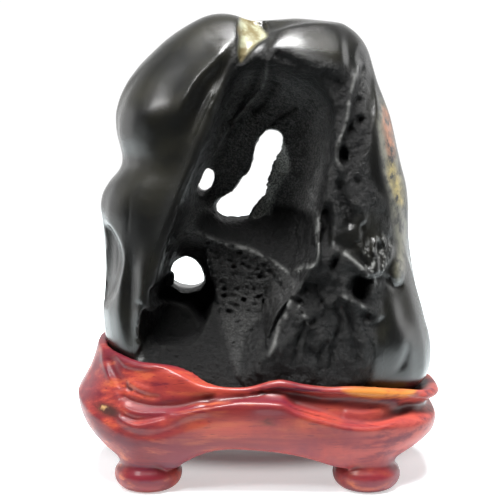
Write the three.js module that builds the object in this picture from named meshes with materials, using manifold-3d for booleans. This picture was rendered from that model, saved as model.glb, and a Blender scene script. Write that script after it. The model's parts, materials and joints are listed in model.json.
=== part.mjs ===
// A scholar's rock: a dark river stone with a cave and three holes through it, standing in the
// socket of a low stand carved from one block of red-brown wood.
//
// Frame: millimetres, +Z up, the viewer on the -Y side. The origin is on the table, under the middle
// of the object's footprint. The stone only rests in its stand, so nothing moves.
//
// Stone: a stack of rounded sections, hollowed from the front and the back down to a thin wall, with
// the holes cut through that wall. Stand: a stack of rounded rings that runs over the rim, the
// shoulder, the apron and the recess below, with four turned pad feet joined to it and the stone's
// own seat cut out of it.

import * as THREE from "three";
import { mergeVertices } from "three/addons/utils/BufferGeometryUtils.js";
import Module from "manifold-3d";

const wasm = await Module();
wasm.setup();

// ---- Driving dimensions ---------------------------------------------------------------------------

const STONE_COLUMNS = 52;
const STONE_ROWS = 32;
const STONE_SQUARENESS = 2.5; // 2 is an ellipse, more is squarer
const SEAT_CLEARANCE = 0.6; // between the stone and the wood of its socket

// The stone's sections from the top down: height, left end, right end, front, back.
const STONE_SECTIONS = [
  [219.5, -16, -14, -1, 1],
  [218.5, -23, 2, -9, 8],
  [215.5, -30, 36, -15, 13],
  [210, -39.5, 45.5, -20, 17],
  [203, -48, 50.5, -24, 20],
  [195, -56, 53, -27, 23],
  [186, -62.5, 55.5, -29, 25],
  [175, -67, 60.5, -31, 27],
  [163, -67.5, 64, -32.5, 29],
  [153, -64.5, 66.5, -33.5, 30.5],
  [147, -65.5, 67.5, -34, 31],
  [140, -72, 69.5, -34.5, 32],
  [131, -75.5, 71, -35, 33],
  [122, -74, 71, -36, 33.5],
  [112, -73.5, 71.5, -36.5, 34],
  [100, -74, 74, -37, 34.5],
  [86, -75, 77.5, -37.5, 35],
  [72, -74.5, 81.5, -38, 35.5],
  [60, -72.5, 83.5, -38, 35.5],
  [51, -70.5, 83, -37.5, 35.5],
  [45, -67.5, 80, -36, 34],
  [40, -61, 73, -32, 30],
  [38, -44, 54, -22, 20],
  [38, 0, 0, 0, 0],
];

// The dip in the skyline between the stone's two heads.
const NOTCH = { x: 3, width: 8, depth: 8, from: 200 };

// The hollow in the front, as the outline [x, z] of its edge, and the wall at the back of it.
const CAVE = [
  [-9, 200], [-21, 173], [-32, 148], [-40, 127], [-47, 106], [-52, 85], [-53, 68], [-46, 60],
  [-34, 55], [-20, 51], [-6, 50], [4, 54], [4, 66], [8, 80], [20, 95], [27, 112], [32, 138],
  [36, 160], [38, 178], [34, 190], [22, 197], [8, 203],
];
const CAVE_WALL = 7; // the wall's y
const LEDGE = [[-33, 124], [-20, 116], [-4, 109], [9, 102], [21, 99]];
const LEDGE_HEIGHT = 15;
const LEDGE_WIDTH = 11;
const CAVE_LIP = { from: 84, to: 52, y: -33 }; // the floor that comes forward to the stand's rim

// The shallower hollow in the back, round the same holes.
const BACK_HOLLOW = [
  [-46, 92], [-38, 76], [-18, 80], [4, 104], [22, 134], [24, 160], [8, 178], [-14, 164], [-34, 138],
];
const BACK_WALL = 18;

// The cutters of both hollows: how many steps round and inwards, how far outside the stone they start,
// where their sides start to slope, and the share of the way in over which they slope down to the wall.
const CUTTER = { columns: 44, rows: 10, start: 60, edge: 37, caveSlope: 0.42, backSlope: 0.85 };

// The outlines [x, z] of the holes through the wall.
const HOLES = [
  [
    [3, 163], [10, 163], [10, 157], [7, 145], [3, 136], [0, 130], [-4, 124], [-17, 123.5], [-21, 127],
    [-18, 130.5], [-11, 134], [-8, 139], [-2, 145], [-1, 153],
  ],
  [[-24, 147], [-22, 142], [-23, 138], [-27, 133], [-29.5, 135], [-28, 141]],
  [[-39, 102], [-33, 102], [-30, 98], [-27, 91], [-31, 87], [-37, 86], [-42, 89], [-42, 96]],
];
const HOLE_REACH = 45; // how far in front of and behind the middle the holes are cut

const STAND_COLUMNS = 64;

// Heights of the stand's carved lines over x, along the front and along the back.
const RIM_FRONT = [
  [-80, 67], [-57, 61], [-45, 60], [-36, 57], [-28, 53], [-18, 51], [-6, 51], [10, 54.5], [20, 52.5],
  [31, 51], [42, 51], [58, 49], [69, 47], [80, 44], [87, 43],
];
const RIM_BACK = [
  [-80, 67], [-60, 61], [-40, 55], [-15, 52], [10, 56], [35, 52], [60, 48], [87, 43],
];
const SHOULDER_FRONT = [
  [-87, 42], [-75, 35], [-57, 32], [-44, 33.5], [-33, 38], [-15, 43], [9, 43], [26, 38], [42, 33.5],
  [54, 32], [68, 31.5], [87, 30],
];
const SHOULDER_BACK = [
  [-87, 42], [-68, 35], [-48, 33], [-28, 38], [-4, 43], [20, 40], [44, 34], [66, 32], [87, 30],
];
const ARCH = [
  [-87, 15], [-70, 13], [-52, 12], [-38, 13], [-30, 17], [-23, 20], [-13, 21.5], [-4, 21], [10, 19.5],
  [20, 17.5], [30, 14.5], [40, 12.5], [70, 13], [87, 15],
];
const RECESS_HEIGHT = 24; // the flat underside inside the arches
const LID_HEIGHT = 44; // inside the stone, so it is cut away with the seat

// The stand's outlines: left end, right end, half its depth, squareness.
const RIM_OUTLINE = [-77.5, 87, 42.5, 2.6];
const BODY_OUTLINE = [-87, 85.5, 48, 2.9];
const FOOT_LINE = [-69, 67, 42, 3.5];
const GROOVE_DEPTHS = [1, 5.5]; // of the groove between rim and shoulder, at the left and right ends
const APRON_BULGE = 2; // how late the apron turns in towards the feet: 1 would be straight

const FOOT = { left: -52, right: 50.5, y: 25, columns: 18 };
// A foot's profile from the table up: radius, height.
const FOOT_PROFILE = [
  [0, 0], [12, 0], [14.6, 1.4], [15.3, 4], [14.2, 7.4], [13.3, 10.4], [13.8, 15], [15.5, 23], [14, 27],
  [0, 27],
];

// ---- Helpers --------------------------------------------------------------------------------------

const { clamp, lerp, smoothstep } = THREE.MathUtils;

// A smooth function through [position, value] pairs, level beyond its ends.
function through(pairs) {
  const positions = pairs.map((pair) => pair[0]);
  const values = pairs.map((pair) => pair[1]);
  const curve = new THREE.CubicInterpolant(positions, values, 1, [0]);
  return (t) => curve.evaluate(clamp(t, positions[0], positions.at(-1)))[0];
}

// How far the edge of a rounded rectangle is from its middle, in the direction of an angle.
function reach(angle, halfWidth, halfDepth, squareness) {
  const across = Math.abs(Math.cos(angle) / halfWidth) ** squareness;
  const along = Math.abs(Math.sin(angle) / halfDepth) ** squareness;
  return (across + along) ** (-1 / squareness);
}

// A closed grid whose rows run from a point on top to a point below. place(angle, row) gives each
// grid point; the angle runs counter-clockwise seen from above, and row from 0 to 1.
function ringSolid(columns, rows, place) {
  const geometry = new THREE.SphereGeometry(1, columns, rows);
  const position = geometry.attributes.position;
  for (let i = 0; i < position.count; i++) {
    const column = (i % (columns + 1)) % columns;
    const row = Math.floor(i / (columns + 1));
    position.setXYZ(i, ...place((2 * Math.PI * column) / columns, row / rows));
  }
  return geometry;
}

// The same surface with nothing but its positions, shared by the faces that meet there.
function merged(geometry) {
  geometry.deleteAttribute("normal");
  geometry.deleteAttribute("uv");
  return mergeVertices(geometry, 1e-4);
}

function toSolid(geometry) {
  const surface = merged(geometry);
  return new wasm.Manifold(
    new wasm.Mesh({
      numProp: 3,
      vertProperties: new Float32Array(surface.attributes.position.array),
      triVerts: new Uint32Array(surface.index.array),
    }),
  );
}

function toGeometry(solid) {
  const { vertProperties, triVerts } = solid.getMesh();
  const geometry = new THREE.BufferGeometry();
  geometry.setAttribute("position", new THREE.BufferAttribute(vertProperties, 3));
  geometry.setIndex(new THREE.BufferAttribute(triVerts, 1));
  geometry.computeVertexNormals();
  return geometry;
}

// A smooth closed outline through [x, z] points.
function outlineThrough(points, steps) {
  const corners = points.map(([x, z]) => new THREE.Vector3(x, z, 0));
  const curve = new THREE.CatmullRomCurve3(corners, true, "centripetal");
  return curve.getSpacedPoints(steps).slice(0, -1).map((p) => new THREE.Vector2(p.x, p.y));
}

function distanceToSegment(p, a, b) {
  const along = b.clone().sub(a);
  const share = clamp(p.clone().sub(a).dot(along) / along.lengthSq(), 0, 1);
  return a.clone().addScaledVector(along, share).distanceTo(p);
}

// ---- Stone ----------------------------------------------------------------------------------------

const ledgeLine = LEDGE.map(([x, z]) => new THREE.Vector2(x, z));

function caveWall(x, z) {
  const p = new THREE.Vector2(x, z);
  let nearest = Infinity;
  for (let i = 1; i < ledgeLine.length; i++) {
    nearest = Math.min(nearest, distanceToSegment(p, ledgeLine[i - 1], ledgeLine[i]));
  }
  const ledge = LEDGE_HEIGHT * Math.exp(-((nearest / LEDGE_WIDTH) ** 2));
  const floor = 1 - smoothstep(z, CAVE_LIP.to, CAVE_LIP.from);
  return lerp(CAVE_WALL - ledge, CAVE_LIP.y, floor);
}

// How each number of a section changes from one section to the next.
const sectionCurves = STONE_SECTIONS[0].map((_, k) =>
  through(STONE_SECTIONS.map((section, level) => [level, section[k]])),
);

function stonePoint(angle, row) {
  const level = row * (STONE_SECTIONS.length - 1);
  const [height, left, right, front, back] = sectionCurves.map((curve) => curve(level));
  const halfWidth = Math.max((right - left) / 2, 0.5);
  const halfDepth = Math.max(Math.sin(angle) < 0 ? -front : back, 0.5);
  const ending = row === 0 || row === 1;
  const far = ending ? 0 : reach(angle, halfWidth, halfDepth, STONE_SQUARENESS);
  const x = (left + right) / 2 + far * Math.cos(angle);
  const notch = NOTCH.depth * Math.exp(-(((x - NOTCH.x) / NOTCH.width) ** 2));
  const z = height - notch * smoothstep(height, NOTCH.from, STONE_SECTIONS[0][0]);
  return [x, far * Math.sin(angle), z];
}

// The stone before anything is cut from it, moved outwards along its normals by `grow`.
function stoneBody(grow) {
  const geometry = merged(ringSolid(STONE_COLUMNS, STONE_ROWS, stonePoint));
  if (grow > 0) {
    geometry.computeVertexNormals();
    const { position, normal } = geometry.attributes;
    const point = new THREE.Vector3();
    const outward = new THREE.Vector3();
    for (let i = 0; i < position.count; i++) {
      point.fromBufferAttribute(position, i).addScaledVector(outward.fromBufferAttribute(normal, i), grow);
      position.setXYZ(i, point.x, point.y, point.z);
    }
  }
  return toSolid(geometry);
}

// A cutter that opens a hollow. It starts outside the stone with the hollow's outline, closes in and
// slopes down to the wall. side is -1 for the front and 1 for the back.
function hollowCutter(points, side, slope, wall) {
  const ring = outlineThrough(points, CUTTER.columns);
  if (side > 0) ring.reverse();
  const middle = ring.reduce((sum, p) => sum.add(p), new THREE.Vector2()).divideScalar(ring.length);
  return toSolid(
    ringSolid(CUTTER.columns, CUTTER.rows + 1, (angle, row) => {
      if (row === 0) return [middle.x, side * CUTTER.start, middle.y];
      const column = Math.round((angle / (2 * Math.PI)) * CUTTER.columns);
      const inwards = ((row * (CUTTER.rows + 1) - 1) / CUTTER.rows) ** 1.15;
      const { x, y: z } = ring[column].clone().lerp(middle, inwards);
      const down = Math.sin((Math.PI / 2) * Math.min(1, inwards / slope));
      return [x, inwards === 0 ? side * CUTTER.start : lerp(side * CUTTER.edge, wall(x, z), down), z];
    }),
  );
}

function holeCutter(points) {
  const shape = new THREE.Shape(outlineThrough(points, 2 * points.length));
  const geometry = new THREE.ExtrudeGeometry(shape, { depth: 2 * HOLE_REACH, bevelEnabled: false });
  return toSolid(geometry.rotateX(Math.PI / 2).translate(0, HOLE_REACH, 0));
}

function makeStone() {
  const hollowed = stoneBody(0)
    .subtract(hollowCutter(CAVE, -1, CUTTER.caveSlope, caveWall))
    .subtract(hollowCutter(BACK_HOLLOW, 1, CUTTER.backSlope, () => BACK_WALL));
  return HOLES.reduce((stone, hole) => stone.subtract(holeCutter(hole)), hollowed);
}

// ---- Stand ----------------------------------------------------------------------------------------

// A height over the stand's plan: one curve along the front, another along the back.
function heightOver(front, back) {
  const frontCurve = through(front);
  const backCurve = through(back);
  return (x, y) => lerp(frontCurve(x), backCurve(x), smoothstep(y, -BODY_OUTLINE[2], BODY_OUTLINE[2]));
}

const rimHeight = heightOver(RIM_FRONT, RIM_BACK);
const shoulderHeight = heightOver(SHOULDER_FRONT, SHOULDER_BACK);
const archHeight = heightOver(ARCH, ARCH);

// A point on an outline, set in from it by `inset`.
function onOutline([left, right, halfDepth, squareness], inset, angle) {
  const far = reach(angle, (right - left) / 2 - inset, halfDepth - inset, squareness);
  return [(left + right) / 2 + far * Math.cos(angle), far * Math.sin(angle)];
}

// The rings of the stand from its lid to its underside, each a function of the angle.
const STAND_RINGS = [
  () => [0, 0, LID_HEIGHT],
  (angle) => ring(angle, RIM_OUTLINE, 14, () => LID_HEIGHT),
  (angle) => ring(angle, RIM_OUTLINE, 4.8, (x, y) => rimHeight(x, y) - 1.5),
  (angle) => ring(angle, RIM_OUTLINE, 3, rimHeight),
  (angle) => ring(angle, RIM_OUTLINE, 1, (x, y) => rimHeight(x, y) - 0.6),
  (angle) => ring(angle, RIM_OUTLINE, 0, (x, y) => rimHeight(x, y) - 2.8),
  (angle) => side(angle, 0.3),
  (angle) => side(angle, 0.55),
  (angle) => side(angle, 0.8),
  (angle) => ring(angle, BODY_OUTLINE, 1, (x, y) => shoulderHeight(x, y) + 1.8),
  (angle) => ring(angle, BODY_OUTLINE, 0, (x, y) => shoulderHeight(x, y) - 1.5),
  (angle) => apron(angle, 0.35),
  (angle) => apron(angle, 0.7),
  (angle) => ring(angle, FOOT_LINE, 0, archHeight),
  (angle) => ring(angle, FOOT_LINE, 6, archHeight),
  (angle) => ring(angle, FOOT_LINE, 9, () => RECESS_HEIGHT),
  () => [0, 0, RECESS_HEIGHT],
];

function ring(angle, outline, inset, height) {
  const [x, y] = onOutline(outline, inset, angle);
  return [x, y, height(x, y)];
}

// A point between two rings, `out` of the way across and `down` of the way down.
function between(upper, lower, out, down) {
  return [lerp(upper[0], lower[0], out), lerp(upper[1], lower[1], out), lerp(upper[2], lower[2], down)];
}

// A point `share` of the way from under the rim down to the shoulder, pressed in by a groove that
// gets deeper towards the right end.
function side(angle, share) {
  const groove = lerp(...GROOVE_DEPTHS, (1 + Math.cos(angle)) / 2) * Math.sin(Math.PI * share);
  const upper = ring(angle, RIM_OUTLINE, groove, (x, y) => rimHeight(x, y) - 3);
  const lower = ring(angle, BODY_OUTLINE, groove, (x, y) => shoulderHeight(x, y) + 2);
  return between(upper, lower, share, share);
}

// A point on the apron, `share` of the way from the shoulder down to the arch.
function apron(angle, share) {
  const upper = ring(angle, BODY_OUTLINE, 0, (x, y) => shoulderHeight(x, y) - 1.5);
  return between(upper, ring(angle, FOOT_LINE, 0, archHeight), share ** APRON_BULGE, share);
}

function standBody() {
  const rows = STAND_RINGS.length - 1;
  return toSolid(ringSolid(STAND_COLUMNS, rows, (angle, row) => STAND_RINGS[Math.round(row * rows)](angle)));
}

function foot(x, y) {
  const profile = FOOT_PROFILE.map(([radius, height]) => new THREE.Vector2(radius, height));
  const geometry = new THREE.LatheGeometry(profile, FOOT.columns);
  geometry.rotateX(Math.PI / 2).translate(x, y, 0);
  return toSolid(geometry);
}

function makeStand() {
  let stand = standBody();
  for (const x of [FOOT.left, FOOT.right]) {
    for (const y of [-FOOT.y, FOOT.y]) {
      stand = stand.add(foot(x, y));
    }
  }
  return stand.subtract(stoneBody(SEAT_CLEARANCE));
}

// ---- The object -----------------------------------------------------------------------------------

const blackStone = new THREE.MeshStandardMaterial({ color: 0x2b2c2a, roughness: 0.35, metalness: 0 });
const redWood = new THREE.MeshStandardMaterial({ color: 0x8e3f2f, roughness: 0.4, metalness: 0 });

function named(name, solid, material) {
  const mesh = new THREE.Mesh(toGeometry(solid), material);
  mesh.name = name;
  return mesh;
}

const scholarsRock = new THREE.Group();
scholarsRock.add(named("stone", makeStone(), blackStone), named("stand", makeStand(), redWood));

export default scholarsRock;
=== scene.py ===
# %% [markdown]
# # A scholar's rock on its stand
#
# A scholar's rock is a stone that a river or the rain has worn into limbs, caves and holes. It is kept
# on a desk and stands in a low wooden stand that is carved to its foot. The CAD model holds the sizes
# and the plain shapes. Here the stone gets its worn skin and the stand its carving and its varnish.
#
# Lengths below are in millimetres unless a name says otherwise, because that is how a carver would
# measure them, and they become metres where a mesh is made. X runs to the right, Z up, and the viewer
# stands on the -Y side.

import json
import math

import bmesh
import bpy
import numpy as np
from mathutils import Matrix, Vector, noise
from mathutils.bvhtree import BVHTree

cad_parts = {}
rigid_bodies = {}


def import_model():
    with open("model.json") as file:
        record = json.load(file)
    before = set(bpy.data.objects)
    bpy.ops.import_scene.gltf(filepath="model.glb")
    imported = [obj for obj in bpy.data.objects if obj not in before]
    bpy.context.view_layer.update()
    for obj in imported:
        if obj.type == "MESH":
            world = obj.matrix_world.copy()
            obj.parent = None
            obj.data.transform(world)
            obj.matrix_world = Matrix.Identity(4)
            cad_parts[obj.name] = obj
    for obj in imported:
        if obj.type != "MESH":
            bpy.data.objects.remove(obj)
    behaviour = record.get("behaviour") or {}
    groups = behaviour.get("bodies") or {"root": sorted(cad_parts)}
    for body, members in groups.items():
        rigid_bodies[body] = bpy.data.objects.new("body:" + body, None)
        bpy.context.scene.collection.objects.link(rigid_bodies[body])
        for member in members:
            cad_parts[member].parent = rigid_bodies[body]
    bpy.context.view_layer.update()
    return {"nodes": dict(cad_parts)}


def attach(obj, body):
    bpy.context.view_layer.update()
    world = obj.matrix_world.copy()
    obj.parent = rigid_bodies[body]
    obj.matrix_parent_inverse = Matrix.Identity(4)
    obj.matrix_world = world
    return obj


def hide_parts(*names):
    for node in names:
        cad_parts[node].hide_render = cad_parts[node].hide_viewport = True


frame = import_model()
MM = 0.001

# %% [markdown]
# ## Camera and studio
#
# The camera looks slightly down at the stone from arm's length with a longer lens, as one looks at a
# small object on a table. The room is a white paper sweep: bright behind and beside the stone, and
# dimmer on the viewer's side, so that the dark stone shows bright edges and a dark middle. A world
# background could be one flat white, but then the polished stone would look grey all over.

# %% Camera
CAMERA_DISTANCE = 0.620
CAMERA_TILT = math.radians(10)
LOOK_AT = Vector((-0.0042, 0, 0.105))
LENS = 93.2
UPWARD_SHIFT = 0.0107

camera_data = bpy.data.cameras.new("camera")
camera_data.sensor_width = 36
camera_data.lens = LENS
camera_data.shift_y = UPWARD_SHIFT
camera = bpy.data.objects.new("camera", camera_data)
bpy.context.scene.collection.objects.link(camera)
away = Vector((0, -math.cos(CAMERA_TILT), math.sin(CAMERA_TILT)))
camera.location = LOOK_AT + CAMERA_DISTANCE * away
camera.rotation_euler = (math.pi / 2 - CAMERA_TILT, 0, 0)
bpy.context.scene.camera = camera
print("camera at", [round(v, 3) for v in camera.location])

# %% [markdown]
# ## Small helpers for shader nodes
#
# A material, a sheet of paper and the sky are all made from nodes. Two helpers keep that short: one
# starts a material, and one adds a node and fills its inputs with values or with links. Nodes could be
# added in the shader editor as well, but then nobody could read why each value was chosen.

# %% Helpers for shader nodes
def new_material(name):
    """An empty material, its node tree and its Principled shader."""
    material = bpy.data.materials.new(name)
    material.use_nodes = True
    tree = material.node_tree
    shader = tree.nodes["Principled BSDF"]
    return material, tree, shader


def add(tree, kind, settings=None, **inputs):
    """A node. `settings` are its own properties, `inputs` are values or sockets for its inputs."""
    node = tree.nodes.new(kind)
    for key, value in (settings or {}).items():
        setattr(node, key, value)
    for key, value in inputs.items():
        name = int(key[1:]) if key[1:].isdigit() else key.replace("_", " ")
        socket = node.inputs[name]
        if isinstance(value, bpy.types.NodeSocket):
            tree.links.new(value, socket)
        else:
            socket.default_value = value
    return node


print("node helpers ready")

# %% [markdown]
# ## Lights
#
# A polished black stone shows its lights more than its own colour. A wide soft box above draws the long
# bright lines on the brows, a small one at the upper left gives the soft patch on the shoulder, and two
# weak ones behind brighten the edges. Sun lamps would give hard small glints instead.

# %% Soft boxes
def studio_light(name, place, size, power, colour=(1, 1, 1)):
    """A soft box that faces the middle of the object."""
    data = bpy.data.lights.new(name, "AREA")
    data.shape = "RECTANGLE"
    data.size, data.size_y = size
    data.energy = power
    data.color = colour
    light = bpy.data.objects.new(name, data)
    light.location = place
    light.rotation_euler = (LOOK_AT - Vector(place)).to_track_quat("-Z", "Y").to_euler()
    bpy.context.scene.collection.objects.link(light)
    return light


SOFT_BOXES = [
    # name, place and size in metres, power in watts
    ("top soft box", (-0.02, -0.20, 0.98), (0.46, 0.36), 31),
    ("upper left soft box", (-0.50, -0.48, 0.72), (0.20, 0.18), 3.6),
    ("left soft box", (-0.82, 0.24, 0.12), (0.6, 0.6), 1.6),
    ("right soft box", (0.90, 0.34, 0.30), (0.5, 0.8), 1.8),
]
for name, place, size, power in SOFT_BOXES:
    studio_light(name, place, size, power)
print(len(SOFT_BOXES), "soft boxes")

# %% [markdown]
# ## The sheet of paper
#
# The object stands on a sheet of white paper that glows far from the stand, a painted light that keeps it
# white, and hardly glows in an oval below the stand, which paints a dark shadow there over the real one.
# The size of the sheet, in metres, is chosen so that its edge is out of the light around the object.

# %% Paper
floor_mesh = bpy.data.meshes.new("floor")
WIDE, NEAR, FAR = 0.45, -0.115, 0.9
CORNERS = [(-WIDE, NEAR, 0), (WIDE, NEAR, 0), (WIDE, FAR, 0), (-WIDE, FAR, 0)]
floor_mesh.from_pydata(CORNERS, [], [(0, 1, 2, 3)])
floor = bpy.data.objects.new("floor", floor_mesh)
bpy.context.scene.collection.objects.link(floor)
paper, sheet, paper_shader = new_material("white paper")
paper_shader.inputs["Base Color"].default_value = (0.80, 0.88, 0.90, 1)
paper_shader.inputs["Roughness"].default_value = 0.9
paper_shader.inputs["Emission Color"].default_value = (1, 1, 1, 1)
on_sheet = add(sheet, "ShaderNodeTexCoord").outputs["Object"]
spread = add(
    sheet,
    "ShaderNodeMapping",
    Vector=on_sheet,
    Location=(0.0, -0.75, 0.0),
    Scale=(10.5, 20.0, 1.0),
)
far = add(sheet, "ShaderNodeVectorMath", {"operation": "LENGTH"}, _0=spread.outputs[0])
# painted light: the sheet glows far from the stand, and the oval without glow paints a shadow below it
glow = add(
    sheet,
    "ShaderNodeMapRange",
    {"interpolation_type": "SMOOTHSTEP"},
    Value=far.outputs["Value"],
    From_Min=0.55,
    From_Max=1.05,
    To_Min=0.02,
    To_Max=0.5,
)
sheet.links.new(glow.outputs[0], paper_shader.inputs["Emission Strength"])
floor_mesh.materials.append(paper)
print("paper, metres:", [round(v, 3) for v in floor.dimensions])

# %% [markdown]
# ## The room
#
# The room's light depends on where it comes from: bright from behind and beside, weak from the viewer's
# side and from straight above. What the camera itself sees is plain white.

# %% Room
world = bpy.data.worlds.new("studio")
world.use_nodes = True
bpy.context.scene.world = world
sky = world.node_tree
sky_shader = sky.nodes["Background"]
direction = add(sky, "ShaderNodeTexCoord")
parts = add(sky, "ShaderNodeSeparateXYZ", Vector=direction.outputs["Generated"])
behind = add(
    sky,
    "ShaderNodeMapRange",
    Value=parts.outputs["Y"],
    From_Min=-0.55,
    From_Max=0.35,
    To_Min=0.09,
    To_Max=1.1,
)
above = add(
    sky,
    "ShaderNodeMapRange",
    Value=parts.outputs["Z"],
    From_Min=0.3,
    From_Max=0.8,
    To_Min=1.0,
    To_Max=0.25,
)
around = add(sky, "ShaderNodeMath", {"operation": "MULTIPLY"}, _0=behind.outputs[0], _1=above.outputs[0])
seen = add(sky, "ShaderNodeLightPath").outputs["Is Camera Ray"]
strength = add(sky, "ShaderNodeMix", Factor=seen, _2=around.outputs[0], _3=1.05)
sky.links.new(strength.outputs[0], sky_shader.inputs["Strength"])
sky_shader.inputs["Color"].default_value = (1, 1, 1, 1)
bpy.context.scene.view_settings.view_transform = "Standard"
print("studio ready")

# %% [markdown]
# ## Working the stone as clay
#
# The stone is one closed skin, so it is worked as a sculptor works clay: first a rough lump with even
# polygons all over (a voxel remesh of the CAD solid), then big strokes, then a finer remesh and small
# strokes. A stroke is a line or a spot on the front, and it says how many millimetres the skin rises
# towards the viewer or sinks away. Sculpting by hand would do the same, but strokes in code can be
# read, changed and repeated.
#
# First come lines: a smooth line through a few points, and how far every point of the mesh is from it.

# %% Lines and distances
def eased(value, low, high):
    """0 below low, 1 above high, and a smooth turn in between."""
    t = np.clip((value - low) / (high - low), 0, 1)
    return t * t * (3 - 2 * t)


def smooth_line(points, steps=7):
    """A smooth line through a few points."""
    p = np.array(points, float)
    if len(p) == 2:
        return p
    p = np.vstack([2 * p[0] - p[1], p, 2 * p[-1] - p[-2]])
    t = np.linspace(0, 1, steps, endpoint=False)[:, None]
    spans = [
        0.5 * (2 * b + (c - a) * t + (2 * a - 5 * b + 4 * c - d) * t**2 + (3 * b - a - 3 * c + d) * t**3)
        for a, b, c, d in zip(p, p[1:], p[2:], p[3:])
    ]
    return np.vstack([*spans, p[-2]])


def measure(at, line):
    """How far each point is from a line, on which side (1 is left of its direction), how far along."""
    nearest = np.full(len(at), 1e9)
    side = np.ones(len(at))
    share = np.zeros(len(at))
    for i, (a, b) in enumerate(zip(line, line[1:])):
        along = b - a
        t = np.clip((at - a) @ along / (along @ along), 0, 1)
        off = at - a - t[:, None] * along
        distance = np.hypot(off[:, 0], off[:, 1])
        closer = distance < nearest
        nearest[closer] = distance[closer]
        side[closer] = np.where(along[0] * off[closer, 1] - along[1] * off[closer, 0] >= 0, 1, -1)
        share[closer] = (i + t[closer]) / (len(line) - 1)
    return nearest, side, share


def near(at, line, reach):
    """Which points lie in the box round a line, widened by reach."""
    return ((at > line.min(0) - reach) & (at < line.max(0) + reach)).all(1)


print("a line of 3 points becomes", len(smooth_line([(0, 0), (1, 1), (2, 0)])), "points")

# %% [markdown]
# ## Brushes
#
# Three brushes make every detail here. A ridge is a thumb's stroke along a line, raised or sunk. A fold
# is a layer that stands proud on one side of its line, as torn stone and carved cloth do. A spot is an
# oval bump or pit. A fourth helper tells which points lie inside an outline, for areas.

# %% Brushes
def ridge(at, points, width, height, ends=0.12, sharp=2.0):
    """A raised line, or a groove where height is below 0. `sharp` 1 is a crease and 2 is round."""
    line = smooth_line(points)
    raised = np.zeros(len(at))
    close = near(at, line, 3 * width)
    distance, _, share = measure(at[close], line)
    taper = eased(share, -0.001, ends) * eased(1 - share, -0.001, ends) if ends else 1
    raised[close] = height * taper * np.exp(-((distance / width) ** sharp))
    return raised


def fold(at, points, width, height, edge=1.0, ends=0.15):
    """A layer that stands proud on the left of the line and fades away over width."""
    line = smooth_line(points)
    raised = np.zeros(len(at))
    close = near(at, line, 4 * width)
    distance, side, share = measure(at[close], line)
    taper = eased(share, -0.001, ends) * eased(1 - share, -0.001, ends)
    step = 0.5 + 0.5 * np.tanh(side * distance / edge)
    raised[close] = height * taper * step * np.exp(-((distance / width) ** 1.5))
    return raised


def spot(at, centre, size, height, turn=0, rim=0.0, flat=0.5):
    """An oval bump, or a pit where height is below 0, turned by degrees, with a rim round it."""
    angle = math.radians(turn)
    off = at - np.array(centre)
    across = (off[:, 0] * math.cos(angle) + off[:, 1] * math.sin(angle)) / size[0]
    along = (-off[:, 0] * math.sin(angle) + off[:, 1] * math.cos(angle)) / size[1]
    distance = np.hypot(across, along)
    raised = height * (1 - eased(distance, flat, 1.15))
    return raised + rim * np.exp(-(((distance - 1.15) / 0.22) ** 2))


def inside(at, points, soft):
    """1 inside a smooth closed outline and 0 outside, with a soft edge."""
    outline = smooth_line([*points, points[0]], 4)
    distance, _, _ = measure(at, outline)
    x, z = at[:, 0], at[:, 1]
    odd = np.zeros(len(at), bool)
    for (ax, az), (bx, bz) in zip(outline, outline[1:]):
        if az != bz:
            odd ^= ((az > z) != (bz > z)) & (x < (bx - ax) * (z - az) / (bz - az) + ax)
    return eased(np.where(odd, distance, -distance), -soft, soft)


def worked(at, strokes):
    """How far the skin rises with all strokes laid on: (brush, width, height, settings, place)."""
    up = np.zeros(len(at))
    for brush, *values, place in strokes:
        settings = values.pop() if isinstance(values[-1], dict) else {}
        up += brush(at, place, *values, **settings)
    return up


print("a ridge 2 mm high is", ridge(np.array([[5.0, 0.0]]), [(0, 0), (10, 0)], 1, 2)[0], "mm in its middle")

# %% [markdown]
# ## Moving a whole mesh at once
#
# Tens of thousands of points move in every step. Reading them one by one in Python would take minutes,
# so they are read and written as one array. Modifiers do what they are good at, an even skin and
# smoothing, and their result becomes the mesh itself.

# %% Helpers for meshes
def points_of(mesh):
    """A mesh's vertices in millimetres."""
    flat = np.empty(3 * len(mesh.vertices), np.float32)
    mesh.vertices.foreach_get("co", flat)
    return flat.reshape(-1, 3).astype(float) / MM


def normals_of(mesh):
    flat = np.empty(3 * len(mesh.vertices), np.float32)
    mesh.vertex_normals.foreach_get("vector", flat)
    return flat.reshape(-1, 3).astype(float)


def move_to(mesh, points):
    mesh.vertices.foreach_set("co", (points * MM).astype(np.float32).ravel())
    mesh.update()


def apply_modifier(piece, kind, **settings):
    """Adds a modifier and makes its result the piece's own mesh."""
    modifier = piece.modifiers.new(kind.lower(), kind)
    for key, value in settings.items():
        setattr(modifier, key, value)
    graph = bpy.context.evaluated_depsgraph_get()
    result = bpy.data.meshes.new_from_object(piece.evaluated_get(graph))
    piece.modifiers.remove(modifier)
    old = piece.data
    piece.data = result
    bpy.data.meshes.remove(old)
    piece.data.name = piece.name


def remesh(piece, voxel):
    apply_modifier(piece, "REMESH", mode="VOXEL", voxel_size=voxel * MM)


def copy_of(node, name):
    """A piece of clay with the shape of a CAD node."""
    clay = bpy.data.meshes.new(name)
    shape = bmesh.new()
    shape.from_mesh(frame["nodes"][node].data)
    bmesh.ops.remove_doubles(shape, verts=shape.verts, dist=1e-6)
    shape.to_mesh(clay)
    shape.free()
    piece = bpy.data.objects.new(name, clay)
    bpy.context.scene.collection.objects.link(piece)
    return piece


def average_of_neighbours(mesh, points):
    ends = np.empty(len(mesh.edges) * 2, int)
    mesh.edges.foreach_get("vertices", ends)
    a, b = ends.reshape(-1, 2).T
    here, there = np.r_[a, b], np.r_[b, a]
    count = np.bincount(here, minlength=len(points)).clip(1)
    return np.stack([np.bincount(here, points[there, k], len(points)) / count for k in range(3)], 1)


def triangles(piece):
    return sum(len(p.vertices) - 2 for p in piece.data.polygons)


print("mesh helpers ready")

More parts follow.
